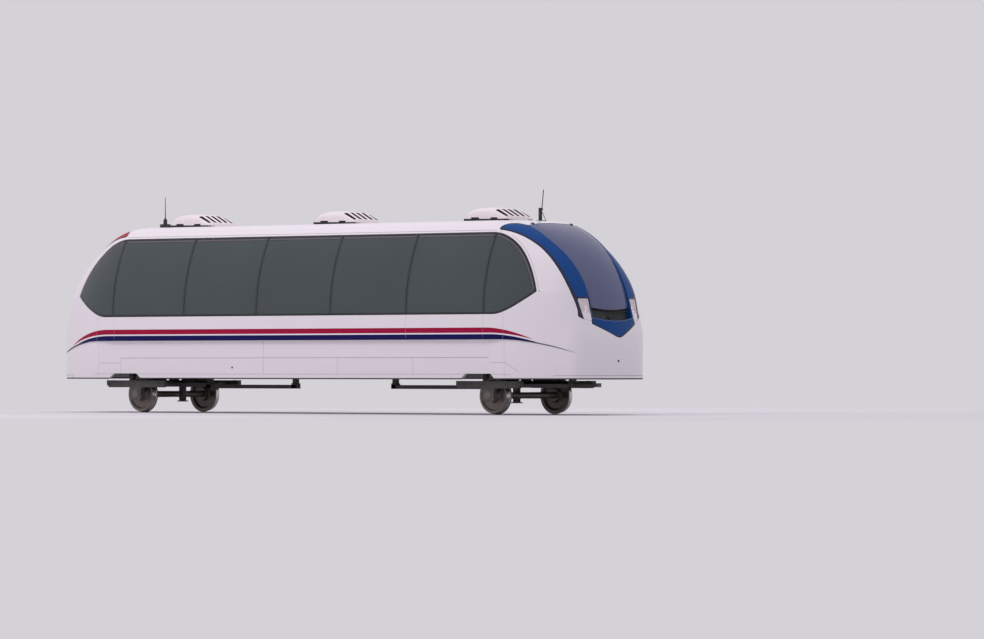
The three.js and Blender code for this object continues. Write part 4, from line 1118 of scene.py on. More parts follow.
class Piece:
    """Collects shapes, each with its material, and makes one object of them."""

    def __init__(self, name, node=None, slot="black_frame", body="car_body"):
        self.name, self.node, self.slot, self.body = name, node, slot, body
        self.mesh = bmesh.new()
        self.materials = []

    def take_in(self, shape, material, bevel=0.0):
        if bevel > 0:
            edges = [e for e in shape.edges if len(e.link_faces) == 2 and e.calc_face_angle(0) > 0.5]
            bmesh.ops.bevel(shape, geom=edges, offset=bevel, segments=2, profile=0.5, affect="EDGES")
        bmesh.ops.recalc_face_normals(shape, faces=shape.faces)
        if material not in self.materials:
            self.materials.append(material)
        for face in shape.faces:
            face.material_index = self.materials.index(material)
            face.smooth = True
        carrier = bpy.data.meshes.new("carrier")
        shape.to_mesh(carrier)
        shape.free()
        self.mesh.from_mesh(carrier)
        bpy.data.meshes.remove(carrier)

    def box(self, low, high, bevel, material=BLACK):
        shape = bmesh.new()
        size = Vector(high) - Vector(low)
        middle = (Vector(high) + Vector(low)) / 2
        matrix = Matrix.Translation(middle) @ Matrix.Diagonal((*size, 1.0))
        bmesh.ops.create_cube(shape, size=1.0, matrix=matrix)
        self.take_in(shape, material, bevel)

    def block(self, x, y, half_x, half_y, foot, top, bevel, material=BLACK):
        """Box around a place in plan, between two heights above the ground."""
        self.box((x - half_x, y - half_y, foot), (x + half_x, y + half_y, top), bevel, material)

    def prism(self, outline, axis, low, high, bevel=0.0, material=BLACK):
        """Prism of a flat outline along an axis. The outline's two numbers are the other axes in order."""
        shape = bmesh.new()
        ends = [[shape.verts.new(TURNS[axis](a, b, at)) for a, b in outline] for at in (low, high)]
        for ring in ends:
            shape.faces.new(ring)
        for i in range(len(outline)):
            j = (i + 1) % len(outline)
            shape.faces.new((ends[0][i], ends[0][j], ends[1][j], ends[1][i]))
        self.take_in(shape, material, bevel)

    def loft(self, rings, material, looped=False, merge=1e-6, based=False):
        """Skin over rings of points, each ring closed. A looped skin has no ends. In a based one the faces
        that close the rings start at the first point, which sets the diagonal they are cut along."""
        shape = bmesh.new()
        rows = [[shape.verts.new(p) for p in ring] for ring in rings]
        for a, b in zip(rows, [*rows[1:], rows[0]] if looped else rows[1:]):
            for i in range(len(a)):
                j = (i + 1) % len(a)
                corners = (a[i], a[j], b[j], b[i])
                shape.faces.new((*corners[1:], corners[0]) if based and j == 0 else corners)
        if not looped:
            shape.faces.new(rows[0])
            shape.faces.new(rows[-1])
        bmesh.ops.remove_doubles(shape, verts=shape.verts, dist=merge)
        bmesh.ops.dissolve_degenerate(shape, edges=shape.edges, dist=merge)
        self.take_in(shape, material)

    def lathe(self, profile, centre, axis, material, segments, flip=1, looped=False):
        """Turned shape. The profile's numbers are radius and place along the axis, from the centre."""
        angles = np.linspace(0, 2 * math.pi, segments, endpoint=False)
        rings = []
        for radius, place in profile:
            radius = max(radius, 1e-7)
            ring = [TURNS[axis](radius * math.cos(t), radius * math.sin(t), flip * place) for t in angles]
            rings.append([Vector(p) + Vector(centre) for p in ring])
        self.loft(rings, material, looped)

    def bolt(self, centre, axis, radius, head):
        """Hexagon head. One with a head below 0 points against the axis."""
        self.lathe([(0, 0), (radius, 0), (radius, head), (0, head)], centre, axis, STEEL, 6)

    def bolt_ring(self, centre, axis, ring_radius, count, radius, head):
        for n in range(count):
            turn = 2 * math.pi * n / count
            shift = TURNS[axis](ring_radius * math.cos(turn), ring_radius * math.sin(turn), 0)
            self.bolt(Vector(centre) + Vector(shift), axis, radius, head)

    def tube(self, path, radius, material, sides):
        points = [Vector(p) for p in path]
        angles = [2 * math.pi * k / sides for k in range(sides)]
        rings = []
        normal = None
        for i, point in enumerate(points):
            run = (points[min(i + 1, len(points) - 1)] - points[max(i - 1, 0)]).normalized()
            normal = normal or run.orthogonal().normalized()
            normal = (normal - run * normal.dot(run)).normalized()
            across = run.cross(normal)
            rings.append([point + radius * (normal * math.cos(t) + across * math.sin(t)) for t in angles])
        self.loft(rings, material)

    def repaint(self, material, chosen):
        """Gives a material to the faces whose middle is chosen."""
        self.materials.append(material)
        for face in self.mesh.faces:
            if chosen(face.calc_center_median()):
                face.material_index = len(self.materials) - 1

    def finish(self, sharp=32):
        for edge in self.mesh.edges:
            if len(edge.link_faces) == 2 and edge.calc_face_angle(0) > math.radians(sharp):
                edge.smooth = False
        mesh = bpy.data.meshes.new(self.name)
        self.mesh.to_mesh(mesh)
        self.mesh.free()
        add_piece(self.name, mesh, self.materials, self.slot, self.node, self.body)


# Sliding doors: curved leaves with their glass, edge rubbers and hangers, and the track they hang from

LEAF_SPAN = (0.003, 0.947)  # from the middle of the doorway
LEAF_HEIGHTS = (0.430, 2.440)
LEAF_MARGIN = 0.01  # the leaf's grid is this much larger than the leaf
LEAF_GRID = (44, 90)
LEAF_OFFSET = 0.085
LEAF_GLASS_OFFSET = 0.095
LEAF_THICKNESS = 0.035
LEAF_CORNER = 0.006
LEAF_FRAME = 0.1
LEAF_GLASS_CORNER = 0.07
LEAF_GLASS_THICKNESS = 0.008
LEAF_GLASS_SEAL = 0.012
LEAF_GLASS_BORDER = 0.02
LEAF_RUBBER = 0.014
TRACK_HALF = 3.75
TRACK_Y = (0.96, 1.06)
TRACK_Z = (2.446, 2.5)
TRACK_LIP = 0.02
TRACK_SHEET = 0.006
HANGER_INSET = 0.2
HANGER_HALF = 0.04
HANGER_Y = (0.985, 1.015)
THRESHOLD_HALF = 0.9
THRESHOLD_INSET = 0.068
RIB_COUNT = 7
RIB_PITCH = 0.009
RIB_WIDTH = 0.006


def leaf_surface(x0, x1, offset, thickness):
    """Grid of the straight left side, set in from the skin."""
    columns, rows = LEAF_GRID
    xs = np.linspace(x0 - LEAF_MARGIN, x1 + LEAF_MARGIN, columns)
    zs = np.linspace(LEAF_HEIGHTS[0] - LEAF_MARGIN, LEAF_HEIGHTS[1] + LEAF_MARGIN, rows)
    slope = (half_width(zs + 1e-4) - half_width(zs - 1e-4)) / 2e-4
    points = np.zeros((rows, columns, 3))
    points[:, :, 0] = xs
    points[:, :, 1] = (half_width(zs) - offset)[:, None]
    points[:, :, 2] = (zs + SKIRT)[:, None]
    normal = np.stack([0 * zs, np.ones(rows), -slope], 1)
    normal /= np.linalg.norm(normal, axis=1, keepdims=True)
    normals = np.repeat(normal[:, None, :], columns, 1)
    index = np.arange(rows * columns).reshape(rows, columns)
    a, b, c, d = index[:-1, :-1], index[:-1, 1:], index[1:, 1:], index[1:, :-1]
    triangles = np.concatenate([
        np.stack([a, c, b], 2).reshape(-1, 3),
        np.stack([a, d, c], 2).reshape(-1, 3),
    ])
    points, normals = points.reshape(-1, 3), normals.reshape(-1, 3)
    return Surface(points, normals, points - normals * thickness, triangles)


def build_leaf(door, leaf, way):
    centre = DOOR_CENTRES[door]
    body = f"{door}_door_{leaf}_leaf"
    x0, x1 = sorted(centre + way * x for x in LEAF_SPAN)
    glass_low = (x0 + LEAF_FRAME, SILL)
    glass_top = (x1 - LEAF_FRAME, DOORWAY_TOP - LEAF_FRAME)
    in_leaf = lambda p: rounded(side_view(p), (x0, LEAF_HEIGHTS[0]), (x1, LEAF_HEIGHTS[1]), LEAF_CORNER)
    in_glass = lambda p: rounded(side_view(p), glass_low, glass_top, LEAF_GLASS_CORNER)
    surface = leaf_surface(x0, x1, LEAF_OFFSET, LEAF_THICKNESS).part(in_leaf)
    meeting = centre + way * (LEAF_SPAN[0] + LEAF_RUBBER)
    rubbers = [
        ([line_at(in_glass, LEAF_GLASS_SEAL)], SEAL_PAINT),
        ([lambda p: way * (along(p) - meeting)], SEAL_PAINT),
    ]
    panel(
        f"door_panel_{door}_{leaf}", surface.part(lambda p: -in_glass(p)), [WHITE, RED, NAVY, RUBBER],
        STRIPES + rubbers, node=f"door_{door}_leaf_{leaf}", lining=LINING, body=body,
    )
    glass = leaf_surface(x0, x1, LEAF_GLASS_OFFSET, LEAF_GLASS_THICKNESS).part(lambda p: in_glass(p) + 0.001)
    border = [([lambda p: -(in_glass(p) + LEAF_GLASS_BORDER)], 1)]
    panel(
        f"door_glazing_{door}_{leaf}", glass, [GLASS, FRIT], border, slot="tinted_glass",
        node=f"door_{door}_glass_{leaf}", thickness=LEAF_GLASS_THICKNESS, body=body,
    )
    hangers = Piece(f"door_hangers_{door}_{leaf}", body=body)
    low, high = SKIRT + LEAF_HEIGHTS[1] - 0.06, SKIRT + TRACK_Z[0] - 0.002
    for x in (x0 + HANGER_INSET, x1 - HANGER_INSET):
        hangers.box((x - HANGER_HALF, HANGER_Y[0], low), (x + HANGER_HALF, HANGER_Y[1], high), 0.003, STEEL)
        for dx in (-0.022, 0.022):
            hangers.bolt((x + dx, HANGER_Y[1], low + 0.02), "y", 0.008, 0.006)
    hangers.finish()


def build_track():
    track = Piece("door_track")
    y0, y1 = TRACK_Y
    z0, z1 = (SKIRT + z for z in TRACK_Z)
    roof = z1 - TRACK_SHEET
    track.prism([
        (y0, z1), (y0, z0), (y0 + TRACK_LIP, z0), (y0 + TRACK_LIP, roof), (y1 - TRACK_LIP, roof),
        (y1 - TRACK_LIP, z0), (y1, z0), (y1, z1),
    ], "x", -TRACK_HALF, TRACK_HALF, material=ALUMINIUM)
    track.finish()


def build_threshold(door, centre):
    threshold = Piece(f"door_threshold_{door}")
    near, far = centre - THRESHOLD_HALF, centre + THRESHOLD_HALF
    foot, first = SKIRT + FLOOR_TOP - 0.002, HALF_WIDTH - THRESHOLD_INSET
    for n in range(RIB_COUNT):
        y = first + n * RIB_PITCH
        threshold.box((near, y, foot), (far, y + RIB_WIDTH, SKIRT + FLOOR_TOP + 0.004), 0.001, ALUMINIUM)
    plate_top = (far, HALF_WIDTH - 0.004, SKIRT + FLOOR_TOP + 0.002)
    threshold.box((near, first, foot), plate_top, 0.0005, ALUMINIUM)
    threshold.finish()


for door in DOOR_CENTRES:
    build_leaf(door, "rear", -1)
    build_leaf(door, "front", 1)
build_track()
for door, centre in DOOR_CENTRES.items():
    build_threshold(door, centre)


# Roof units: a rounded shell with slots in its front slope, notches in its lower edge and a gasket below

ROOF_SEAT = SKIRT + ROOF_TOP - 0.0007  # above the ground
UNITS = {"rear": -3.65, "middle": 0.05, "front": 3.75}
UNIT_LENGTH = 1.03
UNIT_HALF = 0.375
UNIT_HEIGHT = 0.245
UNIT_POWER = 5.0
LIP_HEIGHT = 0.072
SLOPE_END = 0.265
SLOPE_TOP = 0.212
CROWN_END = 0.5
PLAN_ROUNDING = (0.09, 0.12)
SLOT_PITCH = 0.147
SLOT_HALF = 0.034
SLOT_REACH = 0.335
SLOT_DEPTH = 0.022
SLOT_SPAN = (0.04, 0.30)  # distance behind the front edge
NOTCHES = (0.30, 0.75)
NOTCH_HALF = 0.09
NOTCH_HEIGHT = 0.026
UNIT_LIFT = (0.036, 0.050)  # lower edge above the roof, at the front and at the rear
CORE_INSET = 0.08
CORE_TOP = (0.065, 0.082)


def unit_height(s):
    """Height of a roof unit's back at a distance behind its front edge."""
    rise = SLOPE_TOP - LIP_HEIGHT
    lip = LIP_HEIGHT * np.clip(s / 0.03, 0, 1) ** 0.5
    slope = LIP_HEIGHT + rise * s / SLOPE_END
    crown_share = np.clip((s - SLOPE_END) / (CROWN_END - SLOPE_END), 0, 1)
    crown = SLOPE_TOP + (UNIT_HEIGHT - SLOPE_TOP) * np.sin(np.pi / 2 * crown_share)
    tail_share = np.clip((s - CROWN_END) / (UNIT_LENGTH - CROWN_END), 0, 1)
    tail = UNIT_HEIGHT * (1 - tail_share**4.5) ** (1 / 1.5)
    front = np.where(s < SLOPE_END, np.minimum(slope, lip + rise * s / SLOPE_END), crown)
    return np.where(s < CROWN_END, front, tail)


def unit_half_width(s):
    front, rear = PLAN_ROUNDING
    near = np.clip(front - s, 0, front)
    far = np.clip(s - (UNIT_LENGTH - rear), 0, rear)
    inset = (front - np.sqrt(front**2 - near**2)) + (rear - np.sqrt(rear**2 - far**2))
    return UNIT_HALF - inset


def unit_stations():
    """Distances behind the front edge, doubled at the ends of the slots and of the notches."""
    first = [0.0, 0.002, 0.006, 0.014, 0.022, SLOT_SPAN[0] - 0.002, SLOT_SPAN[0] + 0.002]
    slope = list(np.linspace(0.05, 0.29, 14)) + [SLOT_SPAN[1] - 0.002, SLOT_SPAN[1] + 0.002]
    tail = [UNIT_LENGTH - d for d in (0.06, 0.045, 0.03, 0.02, 0.01, 0.004, 0.0)]
    back = list(np.linspace(0.32, 0.95, 28)) + tail
    notches = [at + sign * (NOTCH_HALF + d) for at in NOTCHES for sign in (-1, 1) for d in (-0.012, 0.0)]
    return sorted({round(v, 4) for v in first + slope + back + notches})


def unit_crossings():
    """Places across a unit as shares of its half width, dense at the flanks and doubled at the slots."""
    flank = [1.0, 0.9998, 0.999, 0.997, 0.993, 0.986, 0.975, 0.96, 0.94, 0.92, 0.9]
    slots = [
        (n * SLOT_PITCH + sign * (SLOT_HALF + d)) / UNIT_HALF
        for n in (-2, -1, 0, 1, 2) for sign in (-1, 1) for d in (-0.002, 0.002)
    ]
    between = [n * SLOT_PITCH / UNIT_HALF for n in (-2, -1.5, -1, -0.5, 0, 0.5, 1, 1.5, 2)]
    return sorted([*flank, *(-v for v in flank), *slots, *between], reverse=True)


def unit_back(s, share):
    """Height of the back at a share of the half width."""
    return float(unit_height(s)) * (1 - min(1, abs(share)) ** UNIT_POWER) ** (1 / UNIT_POWER)


def in_slot(s, y, margin):
    """Whether a place is in a slot, or within a margin of one."""
    across = abs(((y / SLOT_PITCH + 0.5) % 1.0) - 0.5) * SLOT_PITCH
    behind, wider, further = margin
    along_slot = SLOT_SPAN[0] < s < SLOT_SPAN[1] + behind
    return along_slot and across < SLOT_HALF + wider and abs(y) < SLOT_REACH + further


def unit_ring(front, s):
    notched = any(abs(s - at) < NOTCH_HALF for at in NOTCHES)
    low_edge = UNIT_LIFT[0] + (UNIT_LIFT[1] - UNIT_LIFT[0]) * s + NOTCH_HEIGHT * notched
    low_edge = min(low_edge, float(unit_height(s)) * 0.98)
    width = float(unit_half_width(s))
    ring = []
    for share in unit_crossings():
        sink = SLOT_DEPTH if in_slot(s, share * UNIT_HALF, (0, 0, 0)) else 0
        z = max(unit_back(s, share), low_edge)
        ring.append((front - s - sink * 0.4, share * width, ROOF_SEAT + z - sink))
    return ring


def build_unit(name, x):
    front = x + UNIT_LENGTH / 2

    # The walls and floors of the slots are painted black seal: painted shade standing in for the dark inside
    # of the unit behind its slots.
    def in_slot_shade(centre):
        s = front - centre.x
        back = ROOF_SEAT + unit_back(s, centre.y / UNIT_HALF)
        sunk = ROOF_SEAT + 0.055 < centre.z < back - 0.004
        return sunk and in_slot(s, centre.y, (0.01, 0.004, 0.01))

    unit = Piece(f"roof_unit_{name}", f"air_unit_{name}", "white_paint")
    unit.loft([unit_ring(front, s) for s in unit_stations()], POD, merge=1e-5, based=True)
    # Painted shade: the slots' insides in black seal.
    unit.repaint(SEAL, in_slot_shade)
    unit.finish()
    gasket = Piece(f"roof_gasket_{name}")
    low, high = front - UNIT_LENGTH + 0.01, front - 0.03
    for inset, tops, half, bevel in (
        (0, [lift + 0.001 for lift in UNIT_LIFT], UNIT_HALF - 0.004, 0.002),
        (CORE_INSET, CORE_TOP, UNIT_HALF - 0.03, 0.004),
    ):
        near, far = high - inset, low + inset
        wedge = [
            (far, ROOF_SEAT), (near, ROOF_SEAT), (near, ROOF_SEAT + tops[0]), (far, ROOF_SEAT + tops[1]),
        ]
        gasket.prism(wedge, "y", -half, half, bevel, SEAL)
    gasket.finish()


for name, x in UNITS.items():
    build_unit(name, x)


# Aerials, and small fittings at the roof, the skirt and the nose

FRONT_MAST = (4.623, 0.15, ROOF_SEAT)
REAR_MAST = (-4.64, 0.0, ROOF_SEAT)
FRONT_MAST_BOXES = [  # corners from the foot of the mast, and bevel
    ((-0.07, -0.05, -0.002), (0.07, 0.05, 0.012), 0.004),
    ((-0.04, -0.025, 0.005), (0.012, 0.025, 0.235), 0.008),
    ((-0.03, -0.02, 0.19), (0.035, 0.02, 0.225), 0.006),
]
REAR_MAST_BOXES = [
    ((-0.09, -0.06, -0.002), (0.09, 0.06, 0.088), 0.014),
    ((-0.028, -0.028, 0.05), (0.028, 0.028, 0.17), 0.008),
]
FRONT_WHIP = [(0.022 + 0.04 * t, 0, 0.2 + 0.355 * t) for t in np.linspace(0, 1, 6)]
FRONT_STAY = [(0, 0, 0.21), (0.06, 0, 0.11), (0.12, 0, 0.003)]
REAR_COLLAR = [(0, 0.16), (0.022, 0.16), (0.022, 0.19), (0.012, 0.2), (0, 0.2)]
REAR_WHIP = [(0, 0.19), (0.009, 0.19), (0.005, 0.58), (0.007, 0.587), (0, 0.59)]
STOP_X = (4.97, 5.04)
STOP_Y = 0.52
STOP_HALF = 0.025
STOP_Z = (2.69, 2.752)
KEY_HOLES = [(-1.629, -1), (1.629, 1)]
KEY_Z = 0.189
KEY_BARREL = [(0, -0.02), (0.02, -0.02), (0.02, 0.002), (0.015, 0.004), (0.011, 0.002), (0, 0.001)]
TAP_PLACE = (-0.039, 0.303)
TAP_BARREL = [(0, -0.02), (0.022, -0.02), (0.022, 0.002), (0.016, 0.004), (0.012, 0.002), (0, 0.001)]


def moved(origin, point):
    return tuple(a + b for a, b in zip(origin, point))


def build_aerials():
    front = Piece("aerial_mast_front", "aerial_front")
    for low, high, bevel in FRONT_MAST_BOXES:
        front.box(moved(FRONT_MAST, low), moved(FRONT_MAST, high), bevel)
    front.tube([moved(FRONT_MAST, p) for p in FRONT_WHIP], 0.008, RUBBER, 12)
    front.tube([moved(FRONT_MAST, p) for p in FRONT_STAY], 0.006, STEEL, 10)
    front.finish()
    rear = Piece("aerial_mast_rear", "aerial_rear")
    for low, high, bevel in REAR_MAST_BOXES:
        rear.box(moved(REAR_MAST, low), moved(REAR_MAST, high), bevel)
    rear.lathe(REAR_COLLAR, REAR_MAST, "z", RUBBER, 24)
    rear.lathe(REAR_WHIP, REAR_MAST, "z", RUBBER, 16)
    rear.finish()


def surface_point(y, z, way, lower):
    """Point on the nose at a height above the skirt's edge, set in from the skin."""
    x = float(front_x(np.array(abs(y)), np.array(z))) - lower
    return Vector((way * x, y, z + SKIRT))


def build_small_fittings():
    """Rubber stops at the upper corners of the windscreens, key holes in the skirt and a tap in the nose."""
    for end, way, _, _ in ENDS:
        stops = Piece(f"roof_stops_{end}")
        low, high = sorted(way * x for x in STOP_X)
        for y in (-STOP_Y, STOP_Y):
            foot, top = (SKIRT + z for z in STOP_Z)
            stops.box((low, y - STOP_HALF, foot), (high, y + STOP_HALF, top), 0.012, RUBBER)
        stops.finish()
    keys = Piece("skirt_key_holes")
    for x, sign in KEY_HOLES:
        y = float(side_y(np.array(x), np.array(KEY_Z)) - recess_at(np.array(x)))
        keys.lathe(KEY_BARREL, Vector((x, sign * y, SKIRT + KEY_Z)), "y", SEAL, 28, sign)
    keys.finish()
    tap = Piece("nose_tap")
    tap.lathe(TAP_BARREL, surface_point(*TAP_PLACE, 1, 0.0), "x", SEAL, 28)
    tap.finish()


build_aerials()
build_small_fittings()


# Wipers, one in each bay, and the reflectors in the lamps

WIPER_PIVOT = (-0.06, 1.07)
WIPER_BOSS = [(0, -0.02), (0.03, -0.02), (0.03, 0.008), (0.02, 0.014), (0, 0.014)]
WIPER_ARM = (0.36, 0.06)
BLADE_SPAN = (-0.12, 0.46)
BLADE_Z = 1.16
BLADE_RISE = 0.03
LIGHTS_Z_Y_RADIUS = ((1.245, 0.625, 0.035), (1.18, 0.645, 0.026))
LIGHT_SETBACK = 0.042
BOWL = [  # radius as a share, and place
    (0, 0), (0.5, 0.004), (0.85, 0.014), (1, 0.028), (1.08, 0.028), (1.05, 0.010), (0.6, -0.004), (0, -0.004)
]
BULB_PROFILE = [(0, 0.002), (0.5, 0.002), (0.6, 0.012), (0.4, 0.022), (0, 0.025)]


def build_wiper(end, way):
    wiper = Piece(f"wiper_{end}")
    y, z = WIPER_PIVOT
    wiper.lathe(WIPER_BOSS, surface_point(y, z, way, BAY_DEPTH - 0.015), "x", BLACK, 24, way)
    arm = [
        surface_point(WIPER_ARM[0] * t + y, z + WIPER_ARM[1] * t, way, BAY_DEPTH - 0.03)
        for t in np.linspace(0, 1, 8)
    ]
    wiper.tube(arm, 0.007, BLACK, 10)
    blade = [
        surface_point(at, BLADE_Z + BLADE_RISE * (at / 0.5) ** 2, way, BAY_DEPTH - 0.04)
        for at in np.linspace(*BLADE_SPAN, 16)
    ]
    wiper.tube(blade, 0.008, RUBBER, 10)
    wiper.finish()


def build_reflectors(end, way):
    for side, sign in reversed(SIDES):
        lights = Piece(f"lamp_lights_{end}_{side}", slot="lamp_lens")
        for z, y, radius in LIGHTS_Z_Y_RADIUS:
            centre = surface_point(sign * y, z, way, LIGHT_SETBACK)
            lights.lathe([(r * radius, a) for r, a in BOWL], centre, "x", CHROME, 32, way)
            lights.lathe([(r * radius, a) for r, a in BULB_PROFILE], centre, "x", BULB, 20, way)
        lights.finish()


for end, way, _, _ in ENDS:
    build_wiper(end, way)
    build_reflectors(end, way)


# Trucks, heights above the ground

JOURNAL_Y = 0.98
FRAME_TOP = 0.6
BEAM_DEPTH = 0.13
BEAM_HALF_LENGTH = 0.76
AXLE_HALF = 0.046  # half of the slot in the beam that holds the axle, and of the beam's width
SPRINGS = ((-0.43, 0.18), (0.0, 0.1), (0.43, 0.18))  # place across the car and radius
SPRING_TOP = SKIRT + 0.1097
AIR_SPRING_RADIUS = 0.15  # those with a larger radius are air springs, the others pivots
SPRING_PLATE = 0.014
MAST_OFFSET = 0.225
MAST_FOOT = 0.217
JOURNAL_CAP = [(0, 0.048), (0.085, 0.048), (0.085, 0.056), (0.06, 0.06), (0.055, 0.064), (0, 0.064)]
AXLE_PROFILE = [  # one half, from its end to the middle
    (0, 1.024), (0.038, 1.024), (0.044, 1.018), (0.044, 0.93), (0.05, 0.918), (0.0635, 0.908), (0.0635, 0.74),
    (0.058, 0.72), (0.058, 0.2), (0.056, 0.0),
]
WHEEL_PROFILE = [  # closed: the inner face, the flange, the tread and the outer face
    (0.0655, -0.010), (0.108, -0.010), (0.114, -0.004), (0.118, 0.028), (0.135, 0.044), (0.19, 0.052),
    (0.245, 0.044), (0.262, 0.028), (0.270, 0.004), (0.278, 0.0), (0.338, 0.003), (FLANGE_RADIUS, 0.012),
    (FLANGE_RADIUS - 0.0005, 0.019), (0.338, 0.028), (0.328, 0.033), (0.3235, 0.038),
    (TREAD_RADIUS + 0.002, 0.05), (TREAD_RADIUS, 0.122), (0.314, 0.130), (0.281, 0.130), (0.272, 0.126),
    (0.266, 0.104), (0.248, 0.088), (0.19, 0.080), (0.135, 0.086), (0.120, 0.104), (0.114, 0.134),
    (0.108, 0.140), (0.0655, 0.140),
]
BRIGHT_RADIUS = 0.3185
BRIGHT_SPAN = (0.034, 0.124)


def build_truck_side(truck, x, sign):
    """Beam of one side, with the slots for the axle's ends, its flanges, journal caps and bolts."""
    y = sign * JOURNAL_Y
    top, foot = FRAME_TOP - 0.001, FRAME_TOP - BEAM_DEPTH
    half = [
        (BEAM_HALF_LENGTH, foot + 0.05), (0.70, foot), (0.16, foot), (0.13, foot - 0.08),
        (0.13, AXLE_Z - 0.07), (0.09, AXLE_Z - 0.11), (AXLE_HALF, AXLE_Z - 0.11),
    ]
    arc = [
        (x + AXLE_HALF * math.sin(t), AXLE_Z + AXLE_HALF * math.cos(t))
        for t in np.linspace(-math.pi / 2, math.pi / 2, 17)
    ]
    outline = [
        *[(x - a, z) for a, z in half], (x - AXLE_HALF, AXLE_Z), *arc,
        *[(x + a, z) for a, z in reversed(half)], (x + BEAM_HALF_LENGTH, top), (x - BEAM_HALF_LENGTH, top),
    ]
    truck.prism(outline, "y", y - AXLE_HALF, y + AXLE_HALF, 0.003)
    truck.block(x, y, BEAM_HALF_LENGTH, 0.05, top - 0.012, top + 0.001, 0.003)
    for a, b in ((-0.70, -0.17), (0.17, 0.70)):
        truck.box((x + a, y - 0.05, foot - 0.001), (x + b, y + 0.05, foot + 0.012), 0.003)
    truck.block(x, y, AXLE_HALF, 0.044, AXLE_Z - 0.108, AXLE_Z - 0.047, 0.002)
    truck.lathe(JOURNAL_CAP, (x, y, AXLE_Z), "y", STEEL, 32, sign)
    truck.bolt_ring((x, y + sign * 0.055, AXLE_Z), "y", 0.072, 6, 0.009, sign * 0.008)
    for dx in (-0.62, 0.62):
        truck.bolt_ring((x + dx, y, top), "z", 0.03, 4, 0.008, 0.006)


def build_spring(truck, x, y, radius):
    """An air spring with two folds between steel plates, or the pivot."""
    low, high = FRAME_TOP - 0.01, SPRING_TOP
    span = high - low
    if radius < AIR_SPRING_RADIUS:
        pivot = [(0, 0), (radius, 0), (radius, 0.03), (radius * 0.8, 0.045), (radius * 0.8, span - 0.02),
                 (radius * 0.96, span - 0.01), (radius * 0.96, span), (0, span)]
        truck.lathe(pivot, (x, y, low), "z", STEEL, 40)
        return
    bellows = [(0, 0), (radius * 0.93, 0), (radius * 0.93, SPRING_PLATE)]
    fold = (span - 2 * SPRING_PLATE) / 2
    for n in range(2):
        for t in np.linspace(0.06, 0.94, 9):
            bulge = radius * (0.84 + 0.16 * math.sin(math.pi * t))
            bellows.append((bulge, SPRING_PLATE + n * fold + t * fold))
    bellows += [(radius * 0.93, span - SPRING_PLATE), (radius * 0.93, span), (0, span)]
    truck.lathe(bellows, (x, y, low), "z", RUBBER, 48)
    for at in (low + 0.004, high - 0.016):
        plate = [(0, 0), (radius * 0.99, 0), (radius * 0.99, 0.012), (0, 0.012)]
        truck.lathe(plate, (x, y, at), "z", STEEL, 48)


def build_mast(truck, mast):
    """Bracket for the mast under the truck, with its foot plate, ribs and bolts."""
    truck.block(mast, 0, 0.05, 0.05, 0.206, FRAME_TOP - 0.03, 0.006)
    truck.block(mast, 0, 0.075, 0.075, 0.2, 0.218, 0.003, STEEL)
    for sign in (-1, 1):
        near, far = sign * 0.049, sign * 0.072
        ribs = [(near, MAST_FOOT), (far, MAST_FOOT), (near, 0.34)]
        truck.prism([(mast + a, z) for a, z in ribs], "y", -0.006, 0.006)
        truck.prism(ribs, "x", mast - 0.006, mast + 0.006)
        for dy in (-0.06, 0.06):
            truck.bolt((mast + sign * 0.06, dy, MAST_FOOT), "z", 0.008, 0.007)


def build_truck(end, way):
    x = way * TRUCK_X
    truck = Piece(f"truck_frame_{end}", f"truck_{end}", body=f"truck_{end}")
    truck.block(x, 0, 0.51, 0.7, FRAME_TOP - 0.06, FRAME_TOP, 0.008)
    for dx in (-0.45, 0.45):
        truck.block(x + dx, 0, 0.06, JOURNAL_Y, FRAME_TOP - 0.12, FRAME_TOP - 0.0005, 0.008)
    for sign in (-1, 1):
        build_truck_side(truck, x, sign)
    for y, radius in SPRINGS:
        build_spring(truck, x, y, radius)
    build_mast(truck, x - way * MAST_OFFSET)
    truck.finish()


def build_wheelset(end, way):
    x = way * TRUCK_X
    body = f"wheelset_{end}"
    axle = Piece(f"axle_shaft_{end}", f"axle_{end}", "wheel_steel", body)
    profile = [(r, -a) for r, a in AXLE_PROFILE] + AXLE_PROFILE[-2::-1]
    axle.lathe(profile, (x, 0, AXLE_Z), "y", STEEL, 64)
    axle.finish()
    for side, sign in SIDES:
        wheel = Piece(f"wheel_disc_{end}_{side}", f"wheel_{end}_{side}", "wheel_steel", body)
        profile = [(r, WHEEL_BACK + a) for r, a in WHEEL_PROFILE]
        wheel.lathe(profile, (x, 0, AXLE_Z), "y", STEEL, 96, sign, looped=True)
        wheel.repaint(TREAD, lambda centre: (
            math.hypot(centre.x - x, centre.z - AXLE_Z) > BRIGHT_RADIUS
            and BRIGHT_SPAN[0] < sign * centre.y - WHEEL_BACK < BRIGHT_SPAN[1]
        ))
        wheel.bolt_ring((x, sign * (WHEEL_BACK + 0.139), AXLE_Z), "y", 0.092, 8, 0.007, sign * 0.006)
        wheel.finish()


for end, way, _, _ in ENDS:
    build_truck(end, way)
    build_wheelset(end, way)


# Underframe, heights above the ground

DECK = (0.98, 1.0097)
DECK_INSET = 0.16
MEMBERS = (-5.5, -3.45, -2.35, -1.25, 0.0, 1.25, 2.35, 3.45, 5.5)
MEMBER_FOOT = 0.9
MEMBER_HALF = 1.1
BEAM_Y = 0.5
BEAM = (0.8, 0.8997)
BEAM_HALF = 5.8
JACK_PAD_X = 2.9
BAR_SPAN = (1.19, 3.51)
BAR_Z = (0.45, 0.52)
BAR_HALF = 0.06
BAR_SHEET = 0.012
TOW_POST = 5.5
TOW_END = 6.15
TOW_Z = (0.49, 0.56)
EDGE_INSET = 0.014
EDGE_RADIUS = 0.013
EDGE_LOW = 0.01  # the rubber edge's middle is this much below the skirt


